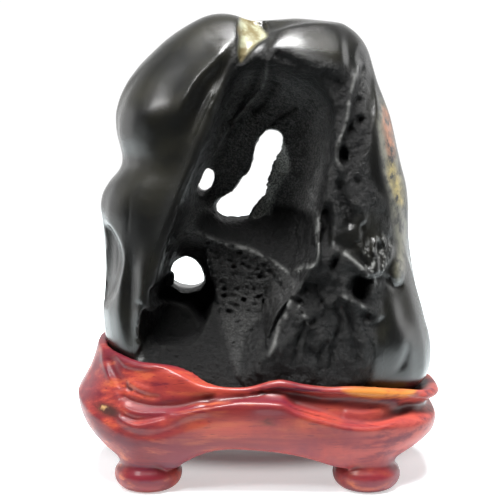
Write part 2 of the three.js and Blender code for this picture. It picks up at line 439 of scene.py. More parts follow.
# %% [markdown]
# ## The lump
#
# The CAD stone has the right outline and holes, but flat faces. A voxel remesh gives it an even skin,
# and smoothing melts the flat faces together. Subdividing the CAD faces would keep their seams.

# %% Lump
LUMP_VOXEL = 1.3
stone = copy_of("stone", "river_stone")
remesh(stone, LUMP_VOXEL)
apply_modifier(stone, "SMOOTH", factor=0.6, iterations=22)
print("lump:", len(stone.data.vertices), "vertices")

# %% [markdown]
# ## Squaring up areas
#
# Two limbs lean together at the top and leave a cave between them. Between the cave and the right limb
# the rock is torn into folds. First whole areas are filled or cut to a depth, as a mason squares up a
# block, and then lines and spots are worked into them. A larger depth is further from the viewer.

# %% Filling and cutting to a depth
def to_depth(y, at, outline, depth, soft=1.0, how="both"):
    """Moves the skin inside an outline to a depth (a larger y is deeper): fill, cut or both."""
    move = depth - y
    if how == "fill":
        move = np.minimum(move, 0)
    if how == "cut":
        move = np.maximum(move, 0)
    return y + inside(at, outline, soft) * move


def steps(value, pairs):
    """A smooth run through (position, depth) pairs."""
    x, y = np.array(sorted(pairs), float).T
    return np.interp(value, x, y)


print("halfway between depths 2 and 6:", steps(5, [(0, 2), (10, 6)]))

# %% [markdown]
# Under a ledge in the middle lies a flat face full of pits, which slopes towards the viewer as it goes
# down. To its right the rock steps forward.

# %% The pitted face and the rock beside it
PITTED_FACE = [
    (-27, 115), (-17, 112), (-4, 107), (10, 99), (19, 97), (14, 91), (7, 84), (1.5, 76.5), (-6.5, 69),
    (-10, 54.5), (-13.5, 64.5), (-18.5, 77.5), (-22.5, 91), (-25.5, 104.5),
]
FACE_DEPTHS = [(112, -5), (100, -7), (88, -8), (80, -11), (70, -20), (60, -29), (52, -34)]
FACE_RIGHT_EDGE = [(97, 19), (91, 14), (84, 7), (76.5, 1.5), (69, -6.5), (54, -10)]
RIGHT_ROCK = [(-9, 50), (-6, 69), (2, 77), (8, 84), (15, 91), (20, 98), (29, 100), (44, 96), (46, 50)]


def face_and_rock(y, at):
    x, z = at.T
    face = steps(z, FACE_DEPTHS)
    past_edge = np.maximum(x - steps(z, FACE_RIGHT_EDGE), 0)
    nearer_by = steps(past_edge, [(0, 8), (7, 5), (15, 2)])
    sloping = np.minimum(np.maximum(face + 1.0 - 1.6 * past_edge, -37), y + nearer_by)
    y = to_depth(y, at, RIGHT_ROCK, sloping, 3.5)
    return to_depth(y, at, PITTED_FACE, face, 0.9, "fill")


print("pitted face:", len(PITTED_FACE), "corners")

# %% [markdown]
# Left of the face is the deepest part of the cave: a black hollow with two lobes of the floor below it,
# one nearer than the other. Towards the left limb the lobes stay behind the stand's rim.

# %% The floor of the cave
DEEP_HOLLOW = [(-49, 86), (-41, 83), (-34, 80.5), (-28, 74), (-24, 79), (-22, 92), (-30, 96), (-47, 96)]
FAR_LOBE = [(-53.5, 84), (-42, 82), (-34, 80), (-28.5, 74), (-27, 71), (-35, 67), (-54, 68)]
NEAR_LOBE = [
    (-21.5, 84), (-25.5, 76), (-29, 70), (-36, 67), (-44, 66), (-54, 68), (-54, 50), (-10, 50),
    (-10, 54.5), (-18.5, 77.5),
]


def cave_floor(y, at):
    x, z = at.T
    y = to_depth(y, at, DEEP_HOLLOW, 6.5, 1.0, "cut")
    by_height = steps(z, [(84, -4), (66, -11)])
    by_side = steps(x, [(-55, -20), (-50, -13), (-45, -7), (-40, 0)])
    y = to_depth(y, at, FAR_LOBE, np.minimum(by_height, by_side), 0.7)
    by_height = steps(z, [(85, -9), (76, -16), (68, -22), (60, -29), (52, -34)])
    by_side = steps(x, [(-55, -22), (-50, -18), (-42, -12), (-36, 0)])
    return to_depth(y, at, NEAR_LOBE, np.minimum(by_height, by_side), 0.7)


print("near lobe:", np.ptp(np.array(NEAR_LOBE)[:, 0]), "mm wide")

# %% [markdown]
# The remaining areas are the slanted wall at the right of the big hole, the back lobe that shows left
# of the limb, the valley between the two heads, and two small recesses in the torn rock.

# %% Walls, the valley and the recesses
HOLE_EDGE = smooth_line([(12, 160), (15, 147), (12, 141), (7, 134), (4.5, 127.5), (2, 123)])
HOLE_SIDE = [
    (9.5, 161), (12, 159), (15, 147), (12, 141), (7, 134), (4.5, 127.5), (1.5, 124), (-3, 124),
    (3, 134), (6, 142), (8.5, 150),
]
BACK_LOBE = [
    (-69.3, 121), (-66, 116), (-64.2, 111), (-64, 105), (-65.2, 98), (-68, 90), (-73, 83), (-84, 81),
    (-84, 121),
]
VALLEY = [
    (-8.5, 224), (-8.8, 206), (-9.2, 197), (-6, 198), (-3.5, 202.5), (0, 206), (3.5, 209), (3, 214),
    (-1, 224),
]
RECESS = [
    (47, 197), (45, 188), (42, 178), (40.5, 170), (37, 161), (36, 154), (38.5, 149), (43, 150),
    (50, 165), (53, 180), (52, 196),
]
SQUARE_PIT = [
    (40.3, 99.6), (45.5, 101), (50, 98.5), (49.6, 95), (48.6, 89.9), (45.6, 89.7), (42.2, 93.2),
    (39.9, 95.5),
]


def walls_and_recesses(y, at):
    x = at[:, 0]
    slanted = 7 + np.minimum(1.1 * measure(at, HOLE_EDGE)[0], 6.5)
    y = to_depth(y, at, HOLE_SIDE, slanted, 0.7, "cut")
    round_lobe = steps(x, [(-77, 2), (-72, -7), (-67, -12), (-61, -15)])
    y = to_depth(y, at, BACK_LOBE, round_lobe, 1.8, "cut")
    y = to_depth(y, at, VALLEY, y + 5.0, 0.8)
    y = to_depth(y, at, RECESS, y + 2.6, 1.6)
    pit = y + steps(x, [(40, 3.0), (45, 7.0), (50, 4.0)])
    return to_depth(y, at, SQUARE_PIT, pit, 1.6, "cut")


def set_depths(y, at):
    for area in (face_and_rock, cave_floor, walls_and_recesses):
        y = area(y, at)
    return y


print("edge of the big hole:", round(float(np.hypot(*np.diff(HOLE_EDGE, axis=0).T).sum())), "mm long")

# %% [markdown]
# ## Strokes of the left limb
#
# The left limb is one smooth worn roll with a crest, a knob at its waist and a flank that falls into the
# cave. Below the knob it divides into two rounded rolls. Each row of a table is one stroke: the brush,
# its width and height in millimetres, what else the brush needs, and the points it passes.

# %% Left limb
LEFT_LIMB = [
    # left limb: crest, valley beside it, edge of the flank
    (ridge, 6.0, 5.0, {"ends": 0.28, "sharp": 1.35},
     [(-9, 213), (-14, 205), (-20, 198), (-26.6, 191.5), (-31, 185.5), (-35, 177), (-39, 166)]),
    (ridge, 3.6, -1.4, {"ends": 0.4}, [(-11, 202), (-16, 195), (-22, 186), (-27, 175), (-33, 155)]),
    (ridge, 3.6, 2.0, {"ends": 0.3},
     [(-9, 203), (-15, 192), (-20, 183), (-24, 171), (-28, 158), (-34, 143), (-41, 126), (-46, 109),
      (-51, 92)]),
    (spot, (22, 14), 3.2, {"turn": 5, "flat": 0}, (-53, 174)),
    (spot, (13, 9), -1.4, {"flat": 0}, (-58, 152)),
    # left limb below the knob: two rounded rolls
    (ridge, 3.4, 2.2, {"ends": 0.4}, [(-62, 118), (-64, 98), (-65, 80), (-64, 55)]),
    (ridge, 3.2, -1.4, {"ends": 0.45}, [(-58, 112), (-58.6, 100), (-59.4, 82), (-59.4, 55)]),
    (ridge, 3.2, 1.6, {"ends": 0.4}, [(-48, 126), (-52, 108), (-54.3, 94), (-55.4, 80), (-55, 58)]),
    (ridge, 1.0, -1.0, [(-57, 88), (-55.5, 86.8), (-53.3, 87.6)]),
]
print("left limb:", len(LEFT_LIMB), "strokes")

# %% [markdown]
# ## Strokes of the right head and the lip of the cave
#
# The right limb starts as a round brow over the cave. A thin rib runs down from it as the cave's lip,
# with a row of pits beside it that the water ground out.

# %% Right head and lip
RIGHT_HEAD = [
    # right head: brow, and the roof of the cave below it
    (ridge, 8, 3.6, [(3, 208), (12, 205), (22, 202), (32, 200.5), (41, 201)]),
    (fold, 8, 1.6, {"edge": 3.5}, [(41, 195), (32, 197), (18, 200.5), (9, 202.5), (2, 204)]),
    (ridge, 1.6, -2.0, [(5, 201), (12, 199), (17, 197), (18.5, 193.5)]),
    (fold, 6, -1.6, {"edge": 1.2}, [(38, 182), (36, 189), (27, 193), (19, 190.5), (11, 186.5)]),
    (ridge, 1.8, 0.8, [(46, 207), (43, 198), (42, 192)]),
    # right lip of the cave, a thin rib, with pits beside it
    (ridge, 1.5, 2.6, {"sharp": 1.6},
     [(46.3, 199), (43.1, 190), (40.5, 180), (39.6, 173), (38, 167), (35.6, 161), (34.8, 154),
      (36.9, 149.6), (39, 149)]),
    (spot, (1.8, 2.6), -1.6, (46.8, 193)),
    (spot, (3.0, 3.2), -1.8, {"rim": 0.9, "flat": 0.2}, (45, 179)),
    (spot, (2.8, 3.2), -2.4, {"rim": 1.0, "flat": 0.2}, (45.8, 171)),
    (spot, (1.8, 3.6), -2.0, {"turn": -20, "rim": 0.6, "flat": 0.2}, (41.6, 168)),
    (spot, (2.3, 4.8), -4.2, {"turn": 6, "rim": 0.8, "flat": 0.3}, (38.4, 155.4)),
    (ridge, 2.2, 1.2, [(47, 176), (49, 170), (47, 164), (43, 160)]),
    (ridge, 1.8, -1.8, [(39, 149), (42, 146), (46, 142)]),
    (ridge, 3.2, 1.2, {"ends": 0.4}, [(53.5, 192), (53, 172), (54, 158), (55, 148), (58, 140), (61, 131)]),
]
print("right head and lip:", len(RIGHT_HEAD), "strokes")

# %% [markdown]
# ## Strokes of the torn rock
#
# The rock right of the ledge tore along its layers. Folds spread upwards from one knot like the fingers
# of a hand, with a deep pocket beside them and flat facets and crevices below.

# %% Torn rock
TORN_ROCK = [
    # pocket right of the ledge
    (spot, (3.4, 11), -8.0, {"turn": -4}, (30, 124)),
    (spot, (2.6, 4.6), -4.5, {"turn": -15, "flat": 0.1}, (34.4, 108)),
    (ridge, 2.0, -2.4, [(36, 146), (37, 138), (40, 131), (41, 122)]),
    (ridge, 2.4, 1.8, [(43, 137), (47, 130), (46, 122), (45, 116)]),
    # torn folds that spread upwards from one knot
    (fold, 9, 3.6, {"edge": 0.9}, [(51, 101), (48.4, 104), (42.4, 109), (36.5, 113.7), (31, 117)]),
    (ridge, 1.3, 2.6, {"sharp": 1.5}, [(50, 99), (47.5, 104), (43.9, 108.5), (39, 113)]),
    (ridge, 1.3, 3.2, {"sharp": 1.5}, [(51.5, 100), (50.5, 106), (47, 112), (45.5, 117)]),
    (ridge, 1.3, 3.4, {"sharp": 1.5}, [(53, 100), (53.5, 107), (52, 113), (53.7, 119)]),
    (ridge, 1.4, 3.0, {"sharp": 1.5}, [(55, 101), (57.5, 107), (58.3, 113), (56.5, 119)]),
    (ridge, 1.2, 2.0, {"sharp": 1.5}, [(56.5, 102), (60, 108), (60.6, 114)]),
    (ridge, 0.9, -1.6, {"sharp": 1.5}, [(50, 104), (48.5, 109), (47, 114)]),
    (ridge, 1.5, -2.0, [(48, 112), (47, 119), (46.5, 126)]),
    (ridge, 1.2, -1.6, [(55.6, 110), (55.4, 117)]),
    (ridge, 3.0, 2.4, [(52, 100), (51.5, 94), (52.5, 87), (55, 80)]),
    # facets and crevices left of the square pit
    (ridge, 1.4, 2.8, {"sharp": 1.5}, [(37, 94), (39, 92), (46.6, 88.1), (54.4, 84.1)]),
    (fold, 6, 1.6, {"edge": 0.8}, [(39, 100), (33, 101), (31, 96), (36, 92)]),
    (ridge, 1.3, -3.2, {"sharp": 1.3},
     [(35.8, 97), (35.4, 91), (35.0, 86), (37.2, 80), (33.9, 69), (31.7, 53)]),
    (ridge, 1.2, -2.6, {"sharp": 1.3}, [(38.9, 91.6), (41, 83.2), (43, 73), (45, 59.2)]),
    (fold, 8, -2.6, {"edge": 1.2}, [(29, 92), (26, 86), (22.5, 79), (21, 70), (22, 60)]),
    (fold, 5, 2.4, {"edge": 0.8}, [(27, 66), (29.5, 71), (29.4, 75.4), (22.5, 78.3)]),
]
print("torn rock:", len(TORN_ROCK), "strokes")

# %% [markdown]
# ## Strokes of the lower mass and the ledge
#
# The foot of the right limb bulges forward and has a bright edge. The ledge over the pitted face is the
# sharpest line of the stone. It ends in a rib that turns up into the cave.

# %% Lower mass and ledge
LOWER_MASS = [
    # lower mass on the right, its bright edge, and the groove that parts it from the right limb
    (spot, (15, 18), 3.0, {"flat": 0}, (53, 68)),
    (ridge, 4.4, 2.2, {"ends": 0.35}, [(56, 97), (60.9, 86.7), (64.1, 77.3), (67.3, 65.3), (65.5, 57.5)]),
    (ridge, 1.8, -0.9, {"ends": 0.4}, [(68.1, 74), (68.6, 66), (67.4, 61), (65.5, 57.5), (58.8, 52.3)]),
    (ridge, 3.4, -1.2, {"ends": 0.4}, [(62.5, 96), (65, 88), (67, 80), (69.5, 72)]),
    (ridge, 1.9, -1.8, [(59, 119), (59, 110), (58, 101)]),
    (ridge, 1.6, -1.8, [(58, 101), (60.5, 97), (63, 94.5), (67, 95)]),
    (spot, (4.2, 8), 2.4, {"turn": -3, "flat": 0.1}, (64.2, 101.5)),
    # ledge over the pitted face, and the rib that turns up at its right end
    (fold, 8, 3.0, {"edge": 0.8, "ends": 0.03},
     [(20.4, 98.4), (15, 98.6), (10, 101.3), (1.5, 106.1), (-4.2, 109), (-17.4, 112.3), (-25.4, 115.6),
      (-31, 119)]),
    (ridge, 1.5, 4.2, {"sharp": 1.5},
     [(15, 101), (21.3, 104.9), (25, 107.3), (26.6, 113), (26.3, 120), (27.4, 131)]),
    # the deep upright groove at the right of the cave
    (ridge, 2.4, -1.8, {"ends": 0.4},
     [(36.4, 187), (37.1, 180), (37.4, 172.8), (36, 161.3), (34.2, 149.7), (33.3, 133.3)]),
]
print("lower mass and ledge:", len(LOWER_MASS), "strokes")

# %% [markdown]
# ## Laying on the front
#
# Only skin that faces the viewer and lies near the front moves, so that the walls of the holes keep
# their place. Areas go first, as they say where the skin is, and strokes say how it rises from there.

# %% Front of the stone
front = points_of(stone.data)
facing = eased(-normals_of(stone.data)[:, 1], 0.0, 0.45)
at = front[:, [0, 2]]
near_front = facing * eased(-front[:, 1], -19, -13)
front[:, 1] += near_front * (set_depths(front[:, 1], at) - front[:, 1])
front[:, 1] -= facing * worked(at, LEFT_LIMB + RIGHT_HEAD + TORN_ROCK + LOWER_MASS)
move_to(stone.data, front)
print("front moved by up to", round(float(np.abs(front[:, 1]).max())), "mm from the middle")

# %% [markdown]
# ## Back and sides
#
# The back is worn too, but more plainly: two limbs that meet over the holes, a few long channels where
# water ran, and some dents. Nothing of it shows from the front, so it keeps close to the CAD solid.

# %% Strokes on the back and the sides
DENTS = [(-20, 186, 7), (14, 120, 6), (58, 84, 6), (-54, 92, 7), (-10, 58, 8), (34, 184, 6)]
CHANNELS = [
    (ridge, 6, -3.0, {"ends": 0.4}, [(0, 218), (4, 204), (2, 190), (8, 178)]),
    (ridge, 7, -2.6, {"ends": 0.35}, [(-44, 196), (-36, 170), (-34, 140), (-40, 110), (-38, 78)]),
    (ridge, 6, 1.8, {"ends": 0.35}, [(-58, 170), (-60, 140), (-64, 110), (-62, 70)]),
    (ridge, 6, 2.4, {"ends": 0.35}, [(22, 200), (30, 170), (28, 140), (36, 100), (34, 60)]),
    (ridge, 5, -2.8, {"ends": 0.3}, [(40, 190), (48, 160), (46, 130), (54, 96), (52, 56)]),
    (ridge, 5, -2.6, {"ends": 0.35}, [(-12, 112), (4, 100), (20, 84), (24, 60)]),
    (ridge, 4, 2.0, {"ends": 0.4}, [(-22, 100), (-8, 84), (-4, 62)]),
    (fold, 8, 2.2, {"edge": 1.5}, [(64, 130), (56, 112), (50, 98), (40, 90)]),
]
BACK = CHANNELS + [
    (spot, (size, 0.8 * size), -1.8, {"turn": x, "flat": 0}, (x, z))
    for x, z, size in DENTS
]
MOST_RISE = 0.8

back = points_of(stone.data)
normals = normals_of(stone.data)
at = back[:, [0, 2]]
rise = np.minimum(worked(at, BACK), MOST_RISE)
back += normals * (eased(normals[:, 1], 0.1, 0.6) * rise)[:, None]
side = eased(np.abs(normals[:, 0]), 0.4, 0.9) * eased(back[:, 1], -22, -8)
waves = np.sin(back[:, 1] / 4.6 + back[:, 2] / 17) * np.sin(back[:, 2] / 27 + 1)
back -= normals * (0.9 * side * eased(waves, 0.0, 1.0))[:, None]
move_to(stone.data, back)
print("back:", len(BACK), "strokes")

# %% [markdown]
# ## Opening the holes
#
# Smoothing closed the three holes a little. Their thin walls are worn away sideways again, so that the
# light comes through at the full width.

# %% Opening the holes to their full width
def open_hole(outline, amount):
    """Wears away the wall round a hole, sideways only."""
    points, normals = points_of(stone.data), normals_of(stone.data)
    sideways = eased(1 - np.abs(normals[:, 1]), 0.05, 0.5)
    thin_wall = eased(points[:, 1], -6, 0) * eased(-points[:, 1], -34, -28)
    worn = amount * sideways * thin_wall * inside(points[:, [0, 2]], outline, 2.5)
    points[:, [0, 2]] -= normals[:, [0, 2]] * worn[:, None]
    move_to(stone.data, points)


HOLES = [
    ([(-1, 172), (14, 172), (17, 150), (6, 120), (-24, 118), (-24, 134), (-6, 150)], 1.6),
    ([(-28, 160), (-17, 160), (-17, 138), (-32, 138)], 1.4),
    ([(-44, 112), (-24, 112), (-21, 88), (-46, 84)], 1.4),
]
for outline, amount in HOLES:
    open_hole(outline, amount)
print(len(HOLES), "holes opened")

# %% [markdown]
# ## Fine skin of the stone
#
# The strokes stretched some polygons, so the clay is remeshed again, finer. Then come the details that
# are a few millimetres across: pits on the torn face under the ledge, cracks, fine ribs that run down
# the flank, and a roughness that fills the cave but leaves the worn limbs smooth. A subdivision with a
# displacement texture could roughen everything alike, but the stone shows where water reached it.

# %% Where the stone is torn and where it is polished
CAVE = [
    (-11, 203), (-16, 184), (-27, 158), (-34, 138), (-44, 112), (-49, 92), (-52.5, 84), (-54.5, 68),
    (-54, 58), (-53, 46), (-50, 34), (30, 34), (50, 50), (53, 66), (54, 80), (57, 92), (59, 104),
    (61, 118), (54, 140), (50, 150), (51, 165), (50, 180), (48, 193), (44, 190), (38, 196), (18, 200),
    (5, 204), (-4, 201),
]
WORN_FOLDS = [(31, 118), (40, 128), (52, 130), (58, 120), (58, 104), (54, 96), (47, 104), (38, 110)]
FINE_VOXEL = 0.85

remesh(stone, FINE_VOXEL)
apply_modifier(stone, "SMOOTH", factor=0.5, iterations=2)
points = points_of(stone.data)
normals = normals_of(stone.data)
at = points[:, [0, 2]]
facing = eased(-normals[:, 1], 0.0, 0.45)
folds_polished = 0.5 * inside(at, WORN_FOLDS, 4.0)
torn = inside(at, CAVE, 2.0) * eased(-points[:, 1], -22, -14) * (1 - folds_polished)
print("fine skin:", len(points), "vertices")

# %% [markdown]
# ## Small strokes
#
# Ribs run down the flank, a thin rib hangs from the saddle into the cave, and the ledge gets its sharp
# edge. Under it the stone broke into edges that look like flames.

# %% Small strokes
FLANK_AND_RIB = [
    # ribs along the flank of the left limb
    (ridge, 1.0, 0.6, [(-12, 199), (-17, 186), (-23, 174)]),
    (ridge, 0.9, 0.5, [(-20, 185), (-25, 176), (-30, 164)]),
    (ridge, 1.0, 0.8, [(-17, 173), (-22, 163), (-28, 150)]),
    (ridge, 1.1, 0.7, [(-24, 160), (-31, 145), (-38, 128)]),
    (ridge, 1.0, 0.7, [(-36, 134), (-42, 118), (-47, 102)]),
    (ridge, 1.4, -1.2, [(-6, 190), (-13, 178), (-21, 163)]),
    (ridge, 1.3, -1.0, [(-29, 152), (-36, 136), (-43, 118)]),
    # thin rib that hangs from the saddle into the cave
    (ridge, 1.3, 2.8, {"sharp": 1.5},
     [(3, 203), (4, 194), (1, 184), (-5, 177), (-12, 169), (-20, 155), (-25, 146)]),
    (ridge, 2.2, -2.6, [(0, 200), (-2, 188), (-8, 178), (-15, 167)]),
    (ridge, 2.4, -2.2, [(7, 196), (7, 186), (2, 177), (-4, 172)]),
    (ridge, 1.3, -2.2, {"sharp": 1.4}, [(19, 176), (13, 172), (9, 169), (5, 165)]),
    # hairline and crack in the knob, small creases beside the head
    (ridge, 0.5, -0.2, {"sharp": 1.5}, [(-59.4, 137), (-59.5, 128), (-60.5, 119)]),
    (ridge, 0.8, -0.25, [(-26, 214), (-21, 209), (-17, 207)]),
]
LEDGE_AND_FLAMES = [
    # edge of the ledge
    (ridge, 0.9, 1.3, {"sharp": 1.5},
     [(15, 99.3), (10, 102), (1.5, 106.8), (-4.2, 109.6), (-17.4, 112.9), (-25.4, 116.2)]),
    # flame-like edges under the ledge
    (fold, 5, 2.4, {"edge": 0.6}, [(15, 91), (13.3, 88), (12.4, 84), (9.2, 78.7), (7.3, 71.6), (3.7, 64)]),
    (fold, 4, 1.6, {"edge": 0.6}, [(1.3, 67.4), (-0.5, 61.2), (-1.4, 55.5)]),
    (fold, 5, 2.4, {"edge": 0.6}, [(22, 81.5), (20, 84), (17.4, 88)]),
    (ridge, 1.1, -2.0, {"sharp": 1.4}, [(16.2, 92), (12.5, 87.8), (8.4, 79.3), (4.2, 70.7), (-0.5, 63)]),
    (ridge, 0.9, -1.8, {"sharp": 1.3}, [(19, 91), (18.6, 86), (20.8, 80), (17, 70), (16, 58)]),
    (fold, 4, 1.6, {"edge": 0.6}, [(15.6, 90), (14.2, 80.6), (10.1, 70.2), (6, 58.3)]),
    (ridge, 0.8, 1.6, {"sharp": 1.5}, [(17.8, 87.7), (20.8, 84.4), (22.5, 78.3), (28, 78.6)]),
    (ridge, 1.0, -1.6, {"sharp": 1.3}, [(26, 99), (27, 92), (30, 87), (28, 80)]),
    (ridge, 0.9, -1.4, {"sharp": 1.3}, [(30, 72), (27, 64), (28, 55)]),
    (ridge, 0.9, -1.0, {"sharp": 1.3}, [(47, 84), (48, 76), (52, 68), (51, 58)]),
    (ridge, 0.8, 0.8, {"sharp": 1.5}, [(40, 78), (46, 72), (50, 73)]),
    # right edge of the lower mass, small cracks on it
    (ridge, 1.0, 0.8, [(44, 82), (50, 80), (55, 82)]),
]
print("small strokes:", len(FLANK_AND_RIB) + len(LEDGE_AND_FLAMES))

# %% [markdown]
# ## Pits and roughness
#
# Pits are too many to place by hand, so they fall at random inside an outline, from a fixed seed, and
# come out the same each time. The crumpled rock between them is fractal noise, measured at each point.

# %% Pits and roughness
def scattered_pits(at, outline, count, sizes, seed):
    """Round pits at random inside an outline."""
    rng = np.random.default_rng(seed)
    corners = np.array(outline, float)
    low, high = corners.min(0), corners.max(0)
    up = np.zeros(len(at))
    made = 0
    while made < count:
        centre = rng.uniform(low, high)
        size = rng.uniform(*sizes)
        if inside(centre[None], outline, 0.5)[0] < 0.9:
            continue
        close = (np.abs(at - centre) < 2.2 * size).all(1)
        if close.any():
            wide = (size, size * rng.uniform(0.7, 1.1))
            up[close] += spot(at[close], centre, wide, -0.62 * size, rim=0.12 * size, flat=0.2)
        made += 1
    return up


def rough_noise(points, scale, octaves, seed):
    """Fractal noise at each point, about -1 to 1."""
    shift = Vector((seed * 17.3, seed * 5.1, seed * 9.7))
    return np.array([noise.fractal(Vector(p) / scale + shift, 0.9, 2.1, octaves) for p in points])


up = worked(at, FLANK_AND_RIB + LEDGE_AND_FLAMES)
up += 1.1 * scattered_pits(at, PITTED_FACE, 120, (0.7, 1.7), 4)
up += 0.6 * scattered_pits(at, CAVE, 260, (0.7, 1.6), 9) * eased(points[:, 1], -18, -8)
swell = rough_noise(points, 24, 2, 1)
rough = rough_noise(points, 7.5, 5, 2)
points[:, 1] -= facing * up
crumpled = 0.5 - np.abs(rough_noise(points, 3.6, 3, 5))
points += normals * (0.45 * swell + torn * (0.75 * rough + 0.45 * crumpled))[:, None]
move_to(stone.data, points)
print("deepest pit or crack:", round(float(-up.min()), 1), "mm")

# %% [markdown]
# ## Final size of the stone's mesh
#
# The decimate modifier takes polygons away where the skin is nearly flat and keeps them at edges.

# %% Fewer triangles
MOST_TRIANGLES = 190_000
if triangles(stone) > MOST_TRIANGLES:
    apply_modifier(stone, "DECIMATE", ratio=MOST_TRIANGLES / triangles(stone))
stone.data.shade_smooth()
print("stone:", triangles(stone), "triangles")

# %% [markdown]
# ## Stand: turning a carver's lines into a solid
#
# The stand is carved from one block. A carver draws a few lines round the block, the rim, the shoulder
# and the arch between the feet, and cuts from one to the next. The same lines make the mesh: for each
# direction round the middle there is a profile that runs over the rim, down the side, round the
# shoulder, in to the foot line and up into the recess. Box modelling with a subdivision surface could
# do it too, but the heights along the lines are easier to set and read as curves.

# %% The stand's lines
RIM_FRONT = [
    (-80, 67), (-57, 61), (-45, 60), (-36, 57), (-28, 53), (-18, 51), (-6, 51), (10, 54.5), (20, 52.5),
    (31, 51), (42, 51), (58, 49), (69, 47), (80, 44), (87, 43),
]
RIM_BACK = [(-80, 67), (-60, 61), (-40, 55), (-15, 52), (10, 56), (35, 52), (60, 48), (87, 43)]
SHOULDER_FRONT = [
    (-87, 42), (-75, 35), (-57, 32), (-44, 33.5), (-33, 38), (-15, 43), (9, 43), (26, 38), (42, 33.5),
    (54, 32), (68, 31.5), (87, 30),
]
SHOULDER_BACK = [
    (-87, 42), (-68, 35), (-48, 33), (-28, 38), (-4, 43), (20, 40), (44, 34), (66, 32), (87, 30),
]
ARCH = [
    (-87, 15), (-70, 13), (-52, 12), (-38, 13), (-30, 17), (-23, 20), (-13, 21.5), (-4, 21), (10, 19.5),
    (20, 17.5), (30, 14.5), (40, 12.5), (70, 13), (87, 15),
]
# left end, right end, half the depth, squareness
RIM_OUTLINE = (-77.5, 87, 42.5, 2.6)
BODY_OUTLINE = (-87, 85.5, 48, 2.9)
FOOT_LINE = (-69, 67, 42, 3.5)
RECESS_HEIGHT = 24
SEAT_FLOOR = 37.4
SEAT_GAP = 0.7
COLUMNS = 400

print("rim from", min(z for _, z in RIM_FRONT), "to", max(z for _, z in RIM_FRONT), "mm high")

# %% [markdown]
# ## Curves and rings
#
# A line round the block is a squared oval in plan and a smooth curve in height. The front and the back
# have their own heights, and the ends blend one into the other.

# %% Rings round the stand
def through(pairs):
    """A smooth function through (position, value) pairs."""
    x, y = np.array(pairs, float).T
    slope = np.gradient(y, x)

    def curve(at):
        at = np.clip(at, x[0], x[-1])
        i = np.clip(np.searchsorted(x, at) - 1, 0, len(x) - 2)
        h = x[i + 1] - x[i]
        t = (at - x[i]) / h
        return (
            (2 * t**3 - 3 * t**2 + 1) * y[i]
            + (t**3 - 2 * t**2 + t) * h * slope[i]
            + (3 * t**2 - 2 * t**3) * y[i + 1]
            + (t**3 - t**2) * h * slope[i + 1]
        )

    return curve


def height_over(front_pairs, back_pairs):
    front_curve, back_curve = through(front_pairs), through(back_pairs)

    def height(x, y):
        back = eased(y, -BODY_OUTLINE[2], BODY_OUTLINE[2])
        return front_curve(x) * (1 - back) + back_curve(x) * back

    return height


rim_height = height_over(RIM_FRONT, RIM_BACK)
shoulder_height = height_over(SHOULDER_FRONT, SHOULDER_BACK)
arch_height = height_over(ARCH, ARCH)
angles = np.linspace(0, 2 * np.pi, COLUMNS, endpoint=False)


def ring(outline, inset, height):
    """A ring of points on an outline, set in from it; height is a number or a function of x and y."""
    left, right, half_depth, squareness = outline
    across = np.abs(np.cos(angles) / ((right - left) / 2 - inset)) ** squareness
    along = np.abs(np.sin(angles) / (half_depth - inset)) ** squareness
    far = (across + along) ** (-1 / squareness)
    x, y = (left + right) / 2 + far * np.cos(angles), far * np.sin(angles)
    z = height(x, y) if callable(height) else np.full(COLUMNS, float(height))
    return np.stack([x, y, z], 1)


def between(upper, lower, out, down):
    """A ring between two others: `out` is its share in plan, and `down` its share in height."""
    plan = upper[:, :2] * (1 - out) + lower[:, :2] * out
    height = upper[:, 2:] * (1 - down) + lower[:, 2:] * down
    return np.concatenate([plan, height], 1)


print("rim is", round(float(np.ptp(ring(RIM_OUTLINE, 0, 0)[:, 0])), 1), "mm long")

# %% [markdown]
# ## The seat
#
# A carver cuts the seat to fit this one stone. Rays from outside find the stone's side in each
# direction, and the seat follows it with a small gap. Cutting the stone out of the block with a boolean
# would fit without a gap, but it would leave the stone's roughness in the wood.

# %% The seat, taken from the stone itself
stone_tree = BVHTree.FromObject(stone, bpy.context.evaluated_depsgraph_get())
SEAT_MIDDLE = ((RIM_OUTLINE[0] + RIM_OUTLINE[1]) / 2, 0.0)
WIDEST_LIP = 5


def seat_ring(height, most, gap=SEAT_GAP):
    """Where the stone's side is at a height, a gap outside it, and never outside the ring `most`."""
    heights = np.full(COLUMNS, float(height)) if np.isscalar(height) else height
    made = []
    for angle, limit, z in zip(angles, most, heights):
        out = Vector((math.cos(angle), math.sin(angle), 0))
        middle = Vector((SEAT_MIDDLE[0], SEAT_MIDDLE[1], z))
        hit = stone_tree.ray_cast(middle * MM + out * 0.2, -out)[0]
        far_limit = math.hypot(limit[0] - SEAT_MIDDLE[0], limit[1] - SEAT_MIDDLE[1])
        far = far_limit if hit is None else (hit / MM - middle).length + gap
        made.append(min(max(far, far_limit - WIDEST_LIP), far_limit))
    kernel = np.hanning(11)
    kernel /= kernel.sum()
    far = np.convolve(np.concatenate([made[-5:], made, made[:5]]), kernel, "valid")
    x = SEAT_MIDDLE[0] + far * np.cos(angles)
    y = SEAT_MIDDLE[1] + far * np.sin(angles)
    return np.stack([x, y, heights], 1)


floor_ring = seat_ring(SEAT_FLOOR + 3, ring(RIM_OUTLINE, 6, 0))
print("seat is", round(float(np.ptp(floor_ring[:, 0])), 1), "mm long")

# %% [markdown]
# ## The profile, ring by ring
#
# The rings go from the middle of the seat, over the rim, down the side, round the shoulder and in to
# the foot line, and end in the middle of the recess below. A smooth curve through them fills the gaps.

